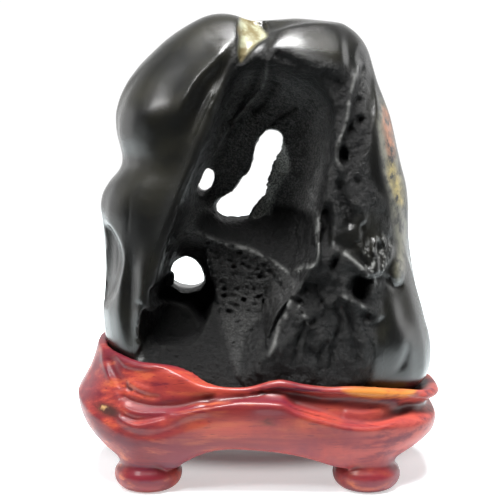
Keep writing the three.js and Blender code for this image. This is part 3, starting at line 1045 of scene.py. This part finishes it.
# %% Rings from the seat to the recess
rim = ring(RIM_OUTLINE, 0, rim_height)
under_rim = ring(RIM_OUTLINE, 0, lambda x, y: rim_height(x, y) - 2.8)
shoulder_top = ring(BODY_OUTLINE, 1.0, lambda x, y: shoulder_height(x, y) + 1.8)
shoulder = ring(BODY_OUTLINE, 0, lambda x, y: shoulder_height(x, y) - 1.5)
foot_line = ring(FOOT_LINE, 0, arch_height)
GROOVE_DEPTHS = (1.0, 5.5)  # between rim and shoulder, at the left and right ends


def side(share):
    """A ring on the side, sunk into the groove that runs between the rim and the shoulder."""
    low, high = GROOVE_DEPTHS
    groove = (low + (high - low) * (1 + np.cos(angles)) / 2) * math.sin(math.pi * share)
    made = between(under_rim, shoulder_top, share, share)
    made[:, :2] -= groove[:, None] * np.stack([np.cos(angles), np.sin(angles)], 1)
    return made


def middle_point(height):
    return np.tile([SEAT_MIDDLE[0], 0, height], (COLUMNS, 1)).astype(float)


rings = [
    middle_point(SEAT_FLOOR),
    between(middle_point(SEAT_FLOOR), floor_ring, 0.9, 0),
    floor_ring,
    seat_ring(rim[:, 2] - 5, ring(RIM_OUTLINE, 4.4, 0)),
    seat_ring(rim[:, 2] - 1.6, ring(RIM_OUTLINE, 4.2, 0)),
    ring(RIM_OUTLINE, 3, rim_height),
    ring(RIM_OUTLINE, 1, lambda x, y: rim_height(x, y) - 0.6),
    under_rim,
    side(0.3),
    side(0.55),
    side(0.8),
    shoulder_top,
    shoulder,
    between(shoulder, foot_line, 0.35**2, 0.35),
    between(shoulder, foot_line, 0.7**2, 0.7),
    foot_line,
    ring(FOOT_LINE, 1.0, lambda x, y: arch_height(x, y) - 0.4),
    ring(FOOT_LINE, 6, arch_height),
    ring(FOOT_LINE, 9, RECESS_HEIGHT),
    middle_point(RECESS_HEIGHT),
]
profile = smooth_line(np.array(rings).reshape(len(rings), -1), 7).reshape(-1, COLUMNS, 3)
print("stand rings:", len(rings), "drawn,", len(profile), "smooth")

# %% [markdown]
# ## Body and feet
#
# The body is a skin over the rings. Each foot is turned like a low bead. A real stand is one block, so
# body and feet become one skin with a voxel remesh, and the joint is smoothed until no seam is left.

# %% Body
def lathe_or_loft(name, rows):
    """A closed mesh from rings of points, its first and last ring drawn together to a point."""
    rows = np.array(rows)
    count = rows.shape[1]
    first, last = rows[0].mean(0), rows[-1].mean(0)
    middle = rows[1:-1]
    vertices = np.concatenate([[first], middle.reshape(-1, 3), [last]]) * MM
    faces = []
    for c in range(count):
        n = (c + 1) % count
        faces.append((0, 1 + n, 1 + c))
        for r in range(len(middle) - 1):
            a, b = 1 + r * count, 1 + (r + 1) * count
            faces.append((a + c, a + n, b + n, b + c))
        end = 1 + (len(middle) - 1) * count
        faces.append((end + c, end + n, len(vertices) - 1))
    mesh = bpy.data.meshes.new(name)
    mesh.from_pydata(vertices.tolist(), [], faces)
    piece = bpy.data.objects.new(name, mesh)
    bpy.context.scene.collection.objects.link(piece)
    return piece


body = lathe_or_loft("carved_stand", profile)
print("body:", triangles(body), "triangles")

# %% [markdown]
# The two front feet stand a little further forward than the back ones, level with the apron's face.

# %% Feet
FOOT_PLACES = [(x, y) for x in (-52, 50.5) for y in (-27.5, 25)]
# radius and height, from the top of the foot down
FOOT_PROFILE = [
    (0, 27), (14, 27), (15.2, 23), (13.6, 17), (
        13.0, 13.6,
    ), (13.6, 11.4), (15.2, 9.4), (15.9, 7.2), (15.7, 5.0),
    (14.8, 2.8), (13.0, 1.0), (10.5, 0), (0, 0),
]
FOOT_COLUMNS = 96


def turned_foot(x, y):
    turn = np.linspace(0, 2 * np.pi, FOOT_COLUMNS, endpoint=False)
    outline = np.maximum(smooth_line(FOOT_PROFILE, 4), 0)
    rows = [
        np.stack([x + r * np.cos(turn), y + r * np.sin(turn), np.full(FOOT_COLUMNS, z)], 1)
        for r, z in outline
    ]
    return lathe_or_loft("foot", rows)


parts = [body] + [turned_foot(x, y) for x, y in FOOT_PLACES]
for part in parts:
    shape = bmesh.new()
    shape.from_mesh(part.data)
    bmesh.ops.recalc_face_normals(shape, faces=shape.faces)
    shape.to_mesh(part.data)
    shape.free()
print("feet:", len(FOOT_PLACES))

# %% [markdown]
# Joined, remeshed and smoothed, the parts become one piece of wood.

# %% One piece of wood
WOOD_VOXEL = 0.8
with bpy.context.temp_override(active_object=body, selected_editable_objects=parts):
    bpy.ops.object.join()
stand = body
remesh(stand, WOOD_VOXEL)
apply_modifier(stand, "SMOOTH", factor=0.5, iterations=4)
points = points_of(stand.data)
joint = eased(points[:, 2], 12.5, 15) * eased(-points[:, 2], -25, -19)
for _ in range(60):
    points += 0.6 * joint[:, None] * (average_of_neighbours(stand.data, points) - points)
move_to(stand.data, points)
print("stand:", triangles(stand), "triangles")

# %% [markdown]
# ## Carved folds
#
# Between the rim and the shoulder the carver cut flowing folds that meet in the middle of each long
# side, like cloth that is gathered there. They are strokes again, and they follow the surface outwards.
# The back has the same folds, because such stands are carved all round.

# %% Folds of the stand
FOLDS = [
    # left: lower edge of the rim, outer roll, and the folds under it
    (fold, 6.8, -0.8, {"edge": 0.7},
     [(-36, 59), (-44.8, 59.6), (-51.5, 57.7), (-60.6, 57.9), (-64.1, 59.6), (-68.1, 64.2), (-71.6, 69.8)]),
    (ridge, 1.8, 0.9, {"sharp": 1.5},
     [(-72.9, 70), (-73.1, 60.5), (-70.1, 53.5), (-66.1, 48.8), (-62, 45.6)]),
    (ridge, 2.3, -0.8, [(-70, 62), (-67.4, 55), (-63, 50.4), (-58, 46.8)]),
    (ridge, 1.4, -0.8, [(-62.9, 50.2), (-58.5, 48.4), (-51.7, 46.3), (-44, 46)]),
    (ridge, 1.8, 0.5, [(-61, 51.6), (-56.5, 50), (-49, 48.2)]),
    (ridge, 2.0, -1.2,
     [(-69.7, 53), (-64, 47), (-60.8, 44.4), (-49.5, 42.5), (-36, 42.9), (-27, 45.1), (-17, 47.4)]),
    (ridge, 2.4, 0.9, [(-65.3, 43), (-59.5, 39.4), (-51.8, 38.4), (-42.7, 39.6), (-31.4, 42), (-22, 44.6)]),
    (ridge, 1.4, -0.7, [(-64, 37.8), (-57, 36), (-49, 37), (-40, 38.6)]),
    (ridge, 2.0, 0.8, {"sharp": 1.6},
     [(-68, 38), (-62, 34.6), (-56, 33.2), (-49, 35), (-38, 38.9), (-24.5, 42.6), (-12, 44)]),
    (ridge, 2.4, -0.6, [(-70, 34), (-62, 31.2), (-52, 29.6), (-42, 32), (-33, 36), (-20, 39.8)]),
    # right: lower edge of the rim, the long groove and the shoulder below it
    (fold, 6.8, -0.9, {"edge": 0.6},
     [(79, 44.5), (72.8, 44.4), (54.6, 45), (36.5, 47.7), (27.5, 48.6), (18.4, 49.4), (11.6, 51)]),
    (ridge, 2.2, -1.7,
     [(10, 47), (18.5, 42.6), (27.5, 39.6), (36.6, 37.2), (45.7, 35.8), (54.8, 35.6), (64, 36.8),
      (75, 38.6)]),
    (ridge, 1.2, 0.6, [(38, 39.4), (47, 38.2), (58, 38.4)]),
    (ridge, 2.2, 0.9, {"sharp": 1.6},
     [(-10, 44), (4.8, 43.9), (11.6, 43.6), (18.4, 40.6), (32, 35.8), (43.3, 32.8), (52.4, 32.3),
      (61.4, 33.8), (70, 36.5)]),
    (ridge, 1.9, -0.6, [(4, 49.6), (-8, 47.4), (-22, 49.4)]),
]
WOOD_TRIANGLES = 150_000

points = points_of(stand.data)
normals = normals_of(stand.data)
outward = eased(np.abs(normals[:, 1]) + 0.7 * np.abs(normals[:, 0]), 0.35, 0.8)
outside = eased(np.hypot((points[:, 0] - 3) / 78, points[:, 1] / 40), 0.97, 1.0)
points += normals * (outward * outside * worked(points[:, [0, 2]], FOLDS))[:, None]
move_to(stand.data, points)
apply_modifier(stand, "DECIMATE", ratio=WOOD_TRIANGLES / triangles(stand))
stand.data.shade_smooth()
print("folds:", len(FOLDS), "strokes; stand:", triangles(stand), "triangles")

# %% [markdown]
# ## Where each surface is worn, hollow, stained or bleached, and where light or shade is painted
#
# Colour and gloss follow the shape. Every point gets a few numbers between 0 and 1 that the materials
# read: how hollow the spot is, for painted shade, whether it is torn or polished, how much of a stain it
# carries, and where light or shade is painted. They are measured on the mesh or drawn as outlines on the
# front, in the same millimetres as the strokes.

# %% Measuring hollows and storing numbers on points
def hollows(piece, steps):
    """How deep each point lies below the average of its surroundings, in millimetres."""
    points = points_of(piece.data)
    soft = points
    for _ in range(steps):
        soft = average_of_neighbours(piece.data, soft)
    return ((soft - points) * normals_of(piece.data)).sum(1)


def store(piece, name, values):
    """Keep one number per point, for the materials."""
    attribute = piece.data.attributes.new(name, "FLOAT", "POINT")
    attribute.data.foreach_set("value", np.clip(values, 0, 1).astype(np.float32))
    print(f"{name}: average {float(np.clip(values, 0, 1).mean()):.3f}")


print("numbers can be stored")

# %% [markdown]
# ## Torn and polished stone
#
# Polished stone is dark and glossy, torn stone is grey and dull, and hollows get painted shade. The deep
# cave gets painted light, the wall of the big hole a pale painted light, and two areas of the cave lie in
# painted deep shade.

# %% Torn, painted hollow shade and painted light
points = points_of(stone.data)
at = points[:, [0, 2]]
fronts = eased(-points[:, 1], -24, -16)
depth = hollows(stone, 24)
folds_polished = 0.75 * inside(at, WORN_FOLDS, 5.0)
torn = inside(at, CAVE, 4.5) * eased(-points[:, 1], -22, -14) * (1 - folds_polished)
SHADED = [
    [
        (-27, 116), (-17, 113.5), (-4, 110), (10, 103), (16, 101), (24, 108), (27, 122), (22, 128),
        (-20, 128), (-30, 122),
    ],
    [(-50, 88), (-41, 84), (-34, 81), (-28, 74), (-24, 79), (-22, 92), (-26, 100), (-47, 100)],
]
HOLE_WALL = [
    (9.5, 161), (12, 159), (15, 147), (12, 141), (8, 134), (6, 126), (5, 118), (-4, 118), (-3, 124),
    (3, 134), (8.5, 150),
]
# painted light on the wall of the big hole, which lies deep in the cave
painted_wall_light = eased(points[:, 1], 5, 8) * eased(-points[:, 1], -17, -12)
store(stone, "torn", torn)
# painted light in the deep, upper part of the cave
store(stone, "painted_cave_light", torn * eased(points[:, 1], -24, -10) * eased(points[:, 2], 106, 120))
# painted shade: hollows are darkened in the stone's colour
store(stone, "hollow_shade", eased(depth, 0.05, 1.2))
store(stone, "raised", eased(-hollows(stone, 5), 0.03, 0.35))
store(stone, "pitted", inside(at, PITTED_FACE, 2.0) * eased(-points[:, 1], 4, 10))
store(stone, "shaded", sum(inside(at, outline, 2.5) for outline in SHADED) * fronts)
store(stone, "painted_wall_light", inside(at, HOLE_WALL, 1.2) * painted_wall_light)

# %% [markdown]
# ## Crusts and stains
#
# Minerals left a pale green patina in the valley between the heads, and a bleached crust with an orange
# and a yellow streak down the right side.

# %% Crusts and stains
PATINA = [
    (-8.7, 217), (-3.3, 217.5), (1.2, 212), (3.2, 208.6), (-0.6, 206), (-4.2, 202.4), (-6.9, 198.9),
    (-8.7, 197.5), (-9.4, 201.5), (-8.7, 206.9), (-9.6, 211.3),
]
BLEACHED = [
    (55.5, 180), (60, 176), (63, 166), (66, 152), (69, 136), (70, 122), (67, 100), (63, 99), (64, 112),
    (62, 124), (60, 136), (56.5, 148), (55.6, 158), (54, 168),
]
ORANGE_STREAK = [
    (57.5, 176.5), (60.7, 173), (61.9, 168), (62.6, 162), (63.2, 156), (60.7, 152.5), (58.7, 156.6),
    (58.2, 161.3), (56.7, 168.2),
]
YELLOW_STREAK = [
    (58.8, 153), (62.1, 151), (64.5, 145), (67, 138), (67, 131), (63.8, 133.5), (60.9, 140), (58.9, 146.4),
]
right_side = eased(-points[:, 1], -30, -18)
store(stone, "patina", inside(at, PATINA, 0.8) * fronts)
store(stone, "bleached", inside(at, BLEACHED, 2.0) * right_side)
store(stone, "orange", inside(at, ORANGE_STREAK, 1.5) * right_side)
store(stone, "yellow", inside(at, YELLOW_STREAK, 1.5) * right_side)

# %% [markdown]
# ## Painted highlights on edges
#
# The sharp edges get painted highlights, lighter lines where light catches them. The lines are broken by
# noise, so that they don't look drawn, and the fan of folds at the right gets upright streaks of painted
# highlight.

# %% Painted highlights on edges
HIGHLIGHT_LINES = [
    [(15, 99.3), (10, 101.6), (1.5, 106.4), (-4.2, 109.2), (-17.4, 112.5), (-25.4, 115.8), (-31, 119)],
    [(15, 100), (21.3, 104.9), (25, 107.3), (26.6, 113), (26.3, 120), (27.4, 131)],
    [
        (46.3, 199), (43.1, 190), (40.5, 180), (39.6, 173), (38, 167), (35.6, 161), (34.8, 154),
        (36.9, 149.6),
    ],
    [(3, 199), (3, 190), (1, 184), (-5, 177), (-12, 169), (-20, 155)],
    [(15, 91), (13.3, 88), (12.4, 84), (9.2, 78.7), (7.3, 71.6), (3.7, 64)],
    [(37, 94), (42.5, 90.4), (48.4, 86.6), (53, 84)],
    [(21.8, 82), (20, 84.5), (17.4, 88)],
    [(48.4, 104), (42.4, 109), (37.5, 113)],
]
HIGHLIGHT_FAN = [
    (47.2, 112.8), (51.7, 118.4), (58.1, 118.4), (61.4, 113.8), (61, 108), (58.4, 101.6), (53.9, 96),
    (51.1, 97), (49, 104),
]
edges = sum(ridge(at, line, 0.7, 1.0, sharp=2) for line in HIGHLIGHT_LINES)
broken = eased(0.35 + 0.9 * rough_noise(points, 4, 3, 6), 0.0, 0.5)
streaks = eased(rough_noise(points * (1, 1, 0.35), 1.5, 3, 8), 0.10, 0.55)
fan_highlight = inside(at, HIGHLIGHT_FAN, 3.0) * streaks
# painted highlights along the edges and in the fan of folds
store(stone, "edges", fronts * (0.7 * edges * broken + fan_highlight))

# %% [markdown]
# ## Materials
#
# Both materials need clouds of tone that are larger than the grain: darker and lighter areas in the
# stone, and cloudy varnish on the wood. One node group makes them, and each material sets its size and
# its contrast. The grain itself differs, so each material has its own.

# %% Node group for clouds of tone
def new_group(name, inputs, outputs):
    group = bpy.data.node_groups.new(name, "ShaderNodeTree")
    for title, kind, value in inputs:
        socket = group.interface.new_socket(title, in_out="INPUT", socket_type=kind)
        if value is not None:
            socket.default_value = value
    for title, kind in outputs:
        group.interface.new_socket(title, in_out="OUTPUT", socket_type=kind)
    return group, group.nodes.new("NodeGroupInput").outputs, group.nodes.new("NodeGroupOutput").inputs


clouds, given, out = new_group(
    "clouds",
    [
        ("Place", "NodeSocketVector", None),
        ("Scale", "NodeSocketFloat", 40.0),
        ("Low", "NodeSocketFloat", 0.4),
        ("High", "NodeSocketFloat", 0.6),
    ],
    [("Mask", "NodeSocketFloat")],
)
cloud = add(
    clouds,
    "ShaderNodeTexNoise",
    Vector=given["Place"],
    Scale=given["Scale"],
    Detail=5.0,
    Roughness=0.6,
)
mask = add(
    clouds,
    "ShaderNodeMapRange",
    {"interpolation_type": "SMOOTHSTEP"},
    Value=cloud.outputs[0],
    From_Min=given["Low"],
    From_Max=given["High"],
)
clouds.links.new(mask.outputs[0], out["Mask"])
print("clouds group:", len(clouds.nodes), "nodes")

# %% [markdown]
# ## Words for the materials
#
# A material reads like a recipe when each step is one word: the number stored on the points, one number
# times another, a colour mixed over a colour, and a value turned into a mask.

# %% Words for the materials
def cloud_mask(tree, place, scale, low, high):
    node = add(tree, "ShaderNodeGroup", {"node_tree": clouds}, Place=place, Scale=scale, Low=low, High=high)
    return node.outputs["Mask"]


def stored(tree, name):
    return add(tree, "ShaderNodeAttribute", {"attribute_name": name}).outputs["Fac"]


def times(tree, a, b):
    return add(tree, "ShaderNodeMath", {"operation": "MULTIPLY"}, _0=a, _1=b).outputs[0]


def mixed(tree, factor, low, high):
    """A colour between low and high, each a socket or red, green and blue."""
    low, high = [(*v, 1) if isinstance(v, tuple) else v for v in (low, high)]
    node = add(tree, "ShaderNodeMix", {"data_type": "RGBA"}, _0=factor, _6=low, _7=high)
    return node.outputs[2]


def ranged(tree, value, low, high, to_low=0.0, to_high=1.0):
    node = add(
        tree,
        "ShaderNodeMapRange",
        {"interpolation_type": "SMOOTHSTEP"},
        Value=value,
        From_Min=low,
        From_Max=high,
        To_Min=to_low,
        To_Max=to_high,
    )
    return node.outputs[0]


def noise_of(tree, place, scale, detail, **settings):
    return add(tree, "ShaderNodeTexNoise", Vector=place, Scale=scale, Detail=detail, **settings).outputs[0]


print("recipe words ready")

# %% [markdown]
# ## River stone
#
# Wet-looking black stone is a dark base under a clear glossy skin, which hands and wax give it. So the
# polished part has a coat over a dull base, and the torn part has none. A single shiny base would give
# the same glints, but it couldn't be dull in the cave and deep black beside a highlight at once.

# %% Colours of the stone
def stone_colour(tree, place, speckle, torn):
    """Black stone with olive clouds, grey and speckled where torn; painted shade in hollows, painted light
    in the cave, on the hole's wall and on edges.
    """
    hollow_shade, raised = stored(tree, "hollow_shade"), stored(tree, "raised")
    olive = cloud_mask(tree, place, 38.0, 0.38, 0.66)
    polished = mixed(tree, olive, (0.0045, 0.0047, 0.0043), (0.0125, 0.0120, 0.0085))
    dull = ranged(tree, speckle, 0.45, 0.75)
    rough = mixed(tree, dull, (0.0022, 0.0022, 0.0023), (0.0120, 0.0120, 0.0116))
    colour = mixed(tree, torn, polished, rough)
    colour = mixed(tree, times(tree, raised, torn), colour, (0.008, 0.008, 0.0075))
    # painted light: the deep cave is a lighter speckled grey
    cave_light_colour = mixed(tree, ranged(tree, speckle, 0.40, 0.70), (0.034, 0.034, 0.034), (0.140, 0.140, 0.136))
    colour = mixed(tree, stored(tree, "painted_cave_light"), colour, cave_light_colour)
    grey = mixed(tree, ranged(tree, speckle, 0.40, 0.70), (0.012, 0.012, 0.012), (0.050, 0.050, 0.048))
    colour = mixed(tree, stored(tree, "pitted"), colour, grey)
    # painted shade in the hollows
    colour = mixed(tree, times(tree, hollow_shade, 0.8), colour, (0.0015, 0.0015, 0.0015))
    colour = mixed(tree, stored(tree, "shaded"), colour, (0.0030, 0.0030, 0.0030))
    # painted light: pale speckled grey on the wall of the big hole
    wall_light_colour = mixed(tree, ranged(tree, speckle, 0.38, 0.66), (0.20, 0.21, 0.20), (0.80, 0.82, 0.78))
    colour = mixed(tree, stored(tree, "painted_wall_light"), colour, wall_light_colour)
    # painted highlights along the edges
    return mixed(tree, stored(tree, "edges"), colour, (0.170, 0.172, 0.165))


# stored number, size of its clouds, where they turn, dark and light colour
CRUSTS = [
    ("bleached", 150.0, (0.40, 0.62), (0.045, 0.043, 0.032), (0.14, 0.135, 0.10)),
    ("orange", 200.0, (0.35, 0.65), (0.15, 0.062, 0.030), (0.36, 0.145, 0.072)),
    ("yellow", 200.0, (0.35, 0.65), (0.12, 0.10, 0.04), (0.36, 0.28, 0.09)),
    ("patina", 120.0, (0.40, 0.62), (0.11, 0.088, 0.038), (0.24, 0.245, 0.165)),
]
print("crusts:", [name for name, *_ in CRUSTS])

# %% [markdown]
# The crusts lie over the stone and break up at their edges, all but the patina, which fills its valley
# to the rim. Torn rock, crusts and patina are duller than the polished limbs.

# %% River stone
def river_stone():
    material, tree, shader = new_material("river stone")
    place = add(tree, "ShaderNodeTexCoord").outputs["Object"]
    torn = stored(tree, "torn")
    speckle = noise_of(tree, place, 1100.0, 3.0, Roughness=0.7)
    colour = stone_colour(tree, place, speckle, torn)
    ragged = cloud_mask(tree, place, 150.0, 0.34, 0.50)
    for name, scale, turn, dark, light in CRUSTS:
        crust = mixed(tree, cloud_mask(tree, place, scale, *turn), dark, light)
        amount = stored(tree, name)
        if name != "patina":
            amount = times(tree, amount, ragged)
        colour = mixed(tree, amount, colour, crust)
    tree.links.new(colour, shader.inputs["Base Color"])

    shader.inputs["Specular IOR Level"].default_value = 0.22
    shader.inputs["Coat Roughness"].default_value = 0.27
    shader.inputs["Coat IOR"].default_value = 1.45
    tree.links.new(ranged(tree, torn, 0.0, 0.8, 0.55, 0.0), shader.inputs["Coat Weight"])
    gloss = add(tree, "ShaderNodeMix", _0=torn, _2=0.27, _3=0.48).outputs[0]
    for name, dullness in [("patina", 0.7), ("bleached", 0.5)]:
        gloss = add(tree, "ShaderNodeMix", _0=stored(tree, name), _2=gloss, _3=dullness).outputs[0]
    tree.links.new(gloss, shader.inputs["Roughness"])

    grit = noise_of(tree, place, 380.0, 6.0, Roughness=0.72)
    fine = add(tree, "ShaderNodeBump", Strength=0.36, Distance=0.0006, Height=speckle).outputs[0]
    strength = ranged(tree, torn, 0.0, 1.0, 0.04, 0.75)
    coarse = add(tree, "ShaderNodeBump", Strength=strength, Distance=0.0030, Height=grit, Normal=fine)
    tree.links.new(coarse.outputs[0], shader.inputs["Normal"])
    return material


stone.data.materials.clear()
stone.data.materials.append(river_stone())
print("river stone:", len(stone.data.materials[0].node_tree.nodes), "nodes")

# %% [markdown]
# ## Numbers for the wood
#
# The block has a streak of yellow sapwood in the rim, and two dark knots. The left end gets painted
# shade and the right end a painted pale sheen.

# %% Numbers for the wood
YELLOW_WOOD = [(38, 50), (50, 50.5), (64, 48), (73, 46.5), (70, 44), (58, 44), (45, 46)]
points = points_of(stand.data)
at = points[:, [0, 2]]
fronts = eased(-points[:, 1], 0, 10)
big_knot = spot(at, (-70.0, 38.4), (8.0, 3.4), 1.0, turn=-8, flat=0.3)
small_knot = spot(at, (4.0, 36.8), (2.8, 2.0), 0.7)
heart = spot(at, (-72.4, 39.4), (2.8, 0.8), 1.0, turn=10, flat=0.2)
left_end = eased(-points[:, 0], 30, 62) * eased(points[:, 2], 14, 24)
right_end = eased(points[:, 0], 28, 60) * eased(points[:, 2], 12, 20)
# painted shade in the hollows of the wood
store(stand, "hollow_shade", eased(hollows(stand, 24), 0.10, 0.9))
store(stand, "yellow", inside(at, YELLOW_WOOD, 1.8) * fronts)
store(stand, "knot", (big_knot + small_knot) * fronts)
# painted shade at the left end, painted light at the right end
store(stand, "painted_shade_left_end", 0.75 * left_end)
store(stand, "painted_light_right_end", 0.45 * right_end)
store(stand, "heart", heart * fronts)

# %% [markdown]
# ## Varnished wood
#
# Reddish hardwood under a satin varnish. Grain is noise that is stretched along the block: broad bands,
# fine rings and pores. Dark stain settles in the rings, and the hollows get painted shade. A wave texture
# would give regular rings, but the block was cut so that its grain wanders.

# %% Varnished wood
def wood_colour(tree, place, rings, pores, stretched):
    bent = noise_of(tree, stretched, 44.0, 5.0, Distortion=1.0)
    colour = mixed(tree, ranged(tree, bent, 0.36, 0.64), (0.105, 0.008, 0.014), (0.320, 0.043, 0.027))
    colour = mixed(tree, ranged(tree, rings, 0.52, 0.76), colour, (0.40, 0.095, 0.034))
    colour = mixed(tree, ranged(tree, rings, 0.47, 0.33), colour, (0.070, 0.007, 0.018))
    mottle = add(tree, "ShaderNodeMapping", Vector=place, Scale=(0.3, 0.8, 1.0)).outputs[0]
    colour = mixed(tree, cloud_mask(tree, mottle, 120.0, 0.56, 0.84), colour, (0.44, 0.10, 0.036))
    colour = mixed(tree, ranged(tree, pores, 0.40, 0.26), colour, (0.110, 0.014, 0.014))
    colour = mixed(tree, cloud_mask(tree, place, 20.0, 0.42, 0.70), colour, (0.120, 0.012, 0.022))
    # stored number, where the rings turn it on, colour; the ends are painted shade and painted light, the
    # yellow is sapwood
    for name, turn, shade in [
        ("painted_shade_left_end", (0.62, 0.42), (0.090, 0.008, 0.014)),
        ("painted_light_right_end", (0.36, 0.56), (0.46, 0.085, 0.060)),
        ("yellow", (0.30, 0.50), (0.46, 0.165, 0.032)),
    ]:
        colour = mixed(tree, times(tree, stored(tree, name), ranged(tree, rings, *turn)), colour, shade)
    # the hollows get painted shade; the knots and the heart are the wood's own colour
    for name, shade in [
        ("hollow_shade", (0.075, 0.010, 0.010)),
        ("knot", (0.035, 0.012, 0.010)),
        ("heart", (0.36, 0.21, 0.09)),
    ]:
        colour = mixed(tree, stored(tree, name), colour, shade)
    return colour


def red_wood():
    material, tree, shader = new_material("red wood")
    place = add(tree, "ShaderNodeTexCoord").outputs["Object"]
    # the grain runs along X, so the pattern is stretched that way
    stretched = add(tree, "ShaderNodeMapping", Vector=place, Scale=(0.10, 0.8, 1.0)).outputs[0]
    rings = noise_of(tree, stretched, 170.0, 6.0, Roughness=0.62)
    pores = noise_of(tree, stretched, 1500.0, 2.0, Roughness=0.6)
    tree.links.new(wood_colour(tree, place, rings, pores, stretched), shader.inputs["Base Color"])
    shader.inputs["Roughness"].default_value = 0.42
    shader.inputs["Coat Weight"].default_value = 0.20
    shader.inputs["Specular IOR Level"].default_value = 0.18
    shader.inputs["Coat Roughness"].default_value = 0.20
    bump = add(tree, "ShaderNodeBump", Strength=0.10, Distance=0.0005, Height=pores)
    tree.links.new(bump.outputs[0], shader.inputs["Normal"])
    return material


stand.data.materials.clear()
stand.data.materials.append(red_wood())
print("red wood:", len(stand.data.materials[0].node_tree.nodes), "nodes")

# %% [markdown]
# ## The pieces and their body
#
# Each piece is tied to the body it belongs to, and stands in for one CAD part.

# %% Finishing
for piece, node, slot in [(stone, "stone", "black_stone"), (stand, "stand", "red_wood")]:
    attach(piece, "root")
    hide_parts(node)
